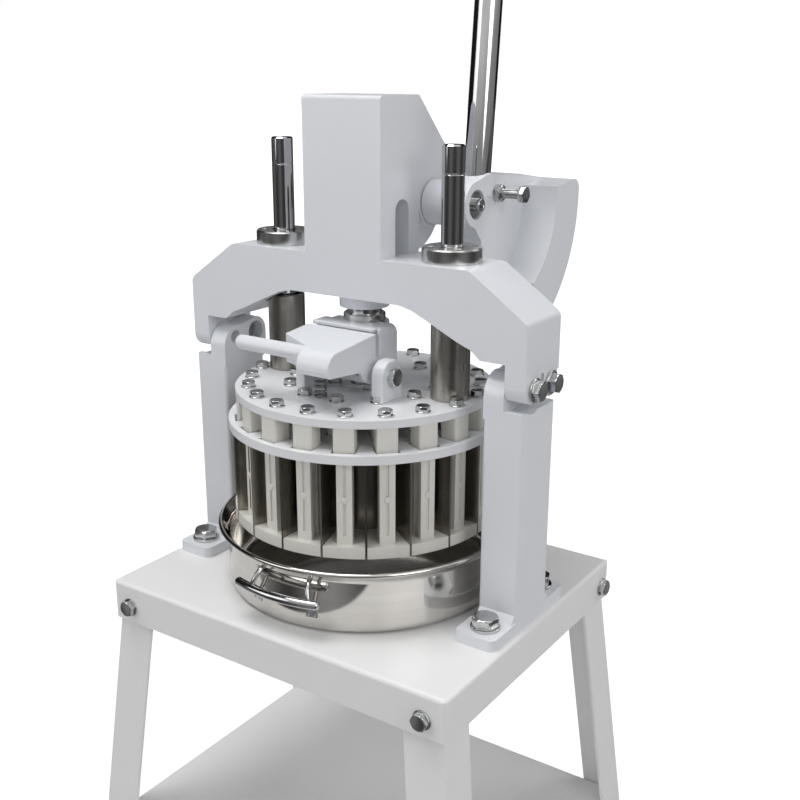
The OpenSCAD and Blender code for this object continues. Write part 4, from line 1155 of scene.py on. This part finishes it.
@dataclass
class Pan:
    """Round steel pan with two bar handles."""

    shop: Workshop
    wall_r: float = 150.5
    rim_r: float = 160.7
    rim_z: float = 71.0
    corner_r: float = 9.0
    bead_r: float = 2.6
    handle_turn: float = -88.3
    grip_r: float = 4.7
    grip_out: float = 15.5
    grip_z: float = 38.0
    grip_half: float = 16.8

    def build(self) -> None:
        """Builds the pan, its handles and their pads."""
        self.body()
        self.handles()

    def body(self) -> None:
        """Spun pan: floor, corner arc, wall, flared rim with a rolled bead, and the inside back down."""
        wall, rim, high, r, bead_r = self.wall_r, self.rim_r, self.rim_z, self.corner_r, self.bead_r
        a = np.linspace(-90, 0, 10) * math.pi / 180
        corner = np.c_[wall - r + r * np.cos(a), r + r * np.sin(a)]
        b = np.linspace(-150, 110, 18) * math.pi / 180
        bead = np.c_[rim - bead_r + bead_r * np.cos(b), high - 2.7 + bead_r * np.sin(b)]
        inner = np.c_[wall - r + 7.5 * np.cos(a[::-1]), 10.5 + 7.5 * np.sin(a[::-1])]
        flare = [[wall, high - 15], [wall + 0.6, high - 12.4], [wall + 2.2, high - 10.2],
                 [rim - 5.4, high - 4.6]]
        throat = [[rim - 4.4, high - 1.4], [wall + 1.6, high - 7.6], [wall - 0.6, high - 9.6],
                  [wall - 1.5, high - 13]]
        profile = np.vstack([[[0.0, 0.0]], corner, flare, bead, throat, inner, [[0.0, 3.0]]])
        shell = revolve(profile, 160).placed(places([[0, 0, 0]]))
        self.shop.make("pan_spun", shell, Body.PAN, Paints.SPUN, ("pan",), 40.0)

    def along(self, turns, radii, levels, size: float, sides: int = 16) -> Shell:
        """Bar of radius size through points given by angle in degrees, radius and level."""
        a = np.radians(turns)
        path = np.stack([radii * np.cos(a), radii * np.sin(a), levels + 0 * a], -1)
        return tube(path, size, np.array([0.0, 0.0, 1.0]), sides)

    def grip_bar(self, t: np.ndarray) -> list[Shell]:
        """Stout bar with round ends, along the wall at the handle's level."""
        r, half = self.wall_r + self.grip_out, self.grip_half
        parts = [self.along(2 * half * t - half, r + 0 * t, self.grip_z + 0 * t, self.grip_r, 24)]
        ball = revolve(arc(0, 0, self.grip_r, -90, 90, 11), 24)
        for turn in (-half, half):
            spot = turned(turn) @ np.array(Matrix.Translation((r, 0, self.grip_z)))
            parts.append(ball.placed(spot[None]))
        return parts

    def pad(self, foot: float) -> list[Shell]:
        """Plate on the wall under one end of the grip, with two rivets."""
        r, turn = self.wall_r, turned(foot)
        rivet = revolve([[0, 0], [1.5, 0], [1.3, 0.7], [0, 1.0]], 16)
        out = Matrix.Rotation(math.pi / 2, 4, "Y")
        spots = [Matrix.Translation((r + 1.0, y, 19.2)) @ out for y in (-3.4, 3.4)]
        return [box((r - 0.4, -6, 16.5), (r + 1.1, 6, 30.5)).placed(turn[None]),
                *(rivet.placed((turn @ np.array(spot))[None]) for spot in spots)]

    def handles(self) -> None:
        """Handles: a grip bar on two arms from under the rim, with two short stays to riveted pads."""
        r = self.wall_r
        t = np.linspace(0.0, 1.0, 25)
        parts, pads = self.grip_bar(t), []
        for side in (-1.0, 1.0):
            lean = 2.3 + side * (10.7 + 1.5 * t ** 2)
            parts.append(self.along(lean, r - 1 + 16 * np.sin(t * math.pi / 2), 59 - 20 * t ** 1.5, 2.5))
            foot = side * 13.2
            parts.append(self.along(foot + 0 * t, r - 0.5 + 15 * t, 23.5 + 13 * t, 2.3))
            pads += self.pad(foot)
        both = np.array([STANDING[0] @ turned(self.handle_turn + more) for more in (0.0, 180.0)])
        for name, node, shells, sharp in (("pan_handle_bars", "pan_handles", parts, 60.0),
                                          ("pan_handle_pads", "pan_brackets", pads, 40.0)):
            self.shop.make(name, joined(shells).placed(both), Body.PAN, Paints.CHROME, (node,), sharp)


@dataclass
class Studio:
    """Floor, world, lamps and camera."""

    lens: float = 48.287
    eye: tuple[float, float, float] = (645.65, -888.93, 533.97 + TABLE_H)
    aim: tuple[float, float, float] = (44.97, 0.0, 206.01 + TABLE_H)
    roll: float = 0.17
    fill: float = 0.33
    floor_half: float = 30.0
    floor_pale: float = 0.86
    floor_mirrored: float = 0.82
    floor_band: float = 0.15
    glow_near: float = 0.44
    glow_rise: float = 0.14
    lamp_aim: tuple[float, float, float] = (0.0, 0.0, 0.85)
    room: tuple = ((0.0, 0.5), (0.15, 0.26), (0.24, 0.34), (0.33, 0.8), (0.48, 0.3), (0.78, 0.9), (1.0, 1.0))

    def build(self) -> None:
        """Builds the whole studio."""
        self.floor()
        self.world()
        self.lamps()
        self.camera()
        bpy.context.scene.view_settings.view_transform = "Standard"

    def floor(self) -> None:
        """Pale floor: white to the camera except in the shadow, dark and banded where metal mirrors it."""
        mesh = bpy.data.meshes.new("floor")
        corners = np.array([[-1, -1, 0], [1, -1, 0], [1, 1, 0], [-1, 1, 0]], float) * self.floor_half
        mesh.from_pydata(corners.tolist(), [], [(0, 1, 2, 3)])
        floor = bpy.data.objects.new("floor", mesh)
        bpy.context.scene.collection.objects.link(floor)
        material = bpy.data.materials.new("floor_pale")
        material.use_nodes = True
        w = Wiring(material.node_tree)
        shader = material.node_tree.nodes["Principled BSDF"]
        path = w.node("ShaderNodeLightPath")
        x, y, _ = w.split(w.node("ShaderNodeTexCoord").outputs["Object"])
        wave = w.math("SINE", w.math("ADD", w.math("MULTIPLY", w.math("ARCTAN2", y, x), 5.0), 2.6))
        band = w.math("MULTIPLY", w.math("ADD", wave, 1.0), self.floor_band)
        dark = w.math("SUBTRACT", self.floor_mirrored, band)
        dark = w.math("MULTIPLY", path.outputs["Is Glossy Ray"], dark)
        w.link(w.math("SUBTRACT", self.floor_pale, dark), shader.inputs["Base Color"])
        shader.inputs["Roughness"].default_value = 0.9
        shader.inputs["Emission Color"].default_value = (1.0, 1.0, 1.0, 1.0)
        glow = w.math("ADD", w.math("MULTIPLY", w.radius(x, y), self.glow_rise), self.glow_near, True)
        w.link(w.math("MULTIPLY", path.outputs["Is Camera Ray"], glow), shader.inputs["Emission Strength"])
        mesh.materials.append(material)

    def world(self) -> None:
        """White to the camera, an even fill on the object, and a banded room for reflections."""
        world = bpy.data.worlds.new("studio")
        bpy.context.scene.world = world
        world.use_nodes = True
        w = Wiring(world.node_tree)
        x, y, z = w.split(w.node("ShaderNodeTexCoord").outputs["Generated"])
        ramp = w.node("ShaderNodeValToRGB")
        steps = ramp.color_ramp.elements
        steps[0].position, steps[1].position = 0.0, 1.0
        for position, _ in self.room[1:-1]:
            steps.new(position)
        for step, (position, value) in zip(steps, self.room):
            step.position = position
            step.color = (value, value, value * 0.99, 1.0)
        w.link(w.spread(z, 0.0, 1.0, -0.2, 1.0), ramp.inputs["Fac"])
        around = w.math("ARCTAN2", y, x)
        wave = w.math("SINE", w.math("ADD", w.math("MULTIPLY", around, 3.0), 0.6))
        slow = w.math("SINE", w.math("ADD", around, 2.2))
        bands = w.math("ADD", w.math("MULTIPLY", wave, 0.45), w.math("MULTIPLY", slow, 0.60))
        mask = w.spread(bands, 0.03, 1.0, -0.35, 0.15, "SMOOTHSTEP")
        room = w.mix(1.0, ramp.outputs["Color"], mask, "MULTIPLY")
        path = w.node("ShaderNodeLightPath")
        fill = (self.fill, self.fill, self.fill * 1.02, 1.0)
        lit = w.mix(path.outputs["Is Glossy Ray"], fill, room)
        final = w.mix(path.outputs["Is Camera Ray"], lit, (1.0, 1.0, 1.0, 1.0))
        w.link(final, world.node_tree.nodes["Background"].inputs["Color"])

    def lamps(self) -> None:
        """Four large soft lamps: overhead key, front fill, right side and a rim from the back."""
        for name, place, size, power in (
            ("key", (-0.4, -0.5, 2.9), 1.4, 30.0),
            ("front", (-1.7, -2.3, 1.7), 1.8, 10.0),
            ("side", (2.3, -0.9, 1.9), 1.5, 14.0),
            ("rim", (1.6, 1.9, 2.2), 1.4, 12.0),
        ):
            data = bpy.data.lights.new(name, "AREA")
            data.shape = "DISK"
            data.size = size
            data.energy = power
            lamp = bpy.data.objects.new(name, data)
            lamp.location = place
            way = Vector(self.lamp_aim) - Vector(place)
            lamp.rotation_euler = way.to_track_quat("-Z", "Y").to_euler()
            bpy.context.scene.collection.objects.link(lamp)

    def camera(self) -> None:
        """Camera at the photograph's angle."""
        data = bpy.data.cameras.new("view")
        data.sensor_fit = "HORIZONTAL"
        data.sensor_width = 36.0
        data.lens = self.lens
        data.clip_start, data.clip_end = 0.02, 60.0
        camera = bpy.data.objects.new("view", data)
        eye, aim = Vector(self.eye) * MM, Vector(self.aim) * MM
        turn = (aim - eye).to_track_quat("-Z", "Y").to_matrix().to_4x4()
        roll = Matrix.Rotation(math.radians(self.roll), 4, "Z")
        camera.matrix_world = Matrix.Translation(eye) @ turn @ roll
        bpy.context.scene.collection.objects.link(camera)
        bpy.context.scene.camera = camera


def main() -> None:
    """Builds the machine piece by piece, then the studio."""
    logging.basicConfig(level=logging.INFO, format="%(name)s: %(message)s")
    shop = Workshop(Paints(Library()))
    for part in (Stand(shop), Lever(shop), Head(shop), Presser(shop), Latch(shop), Pan(shop)):
        part.build()
    Studio().build()


if __name__ == "__main__":
    main()
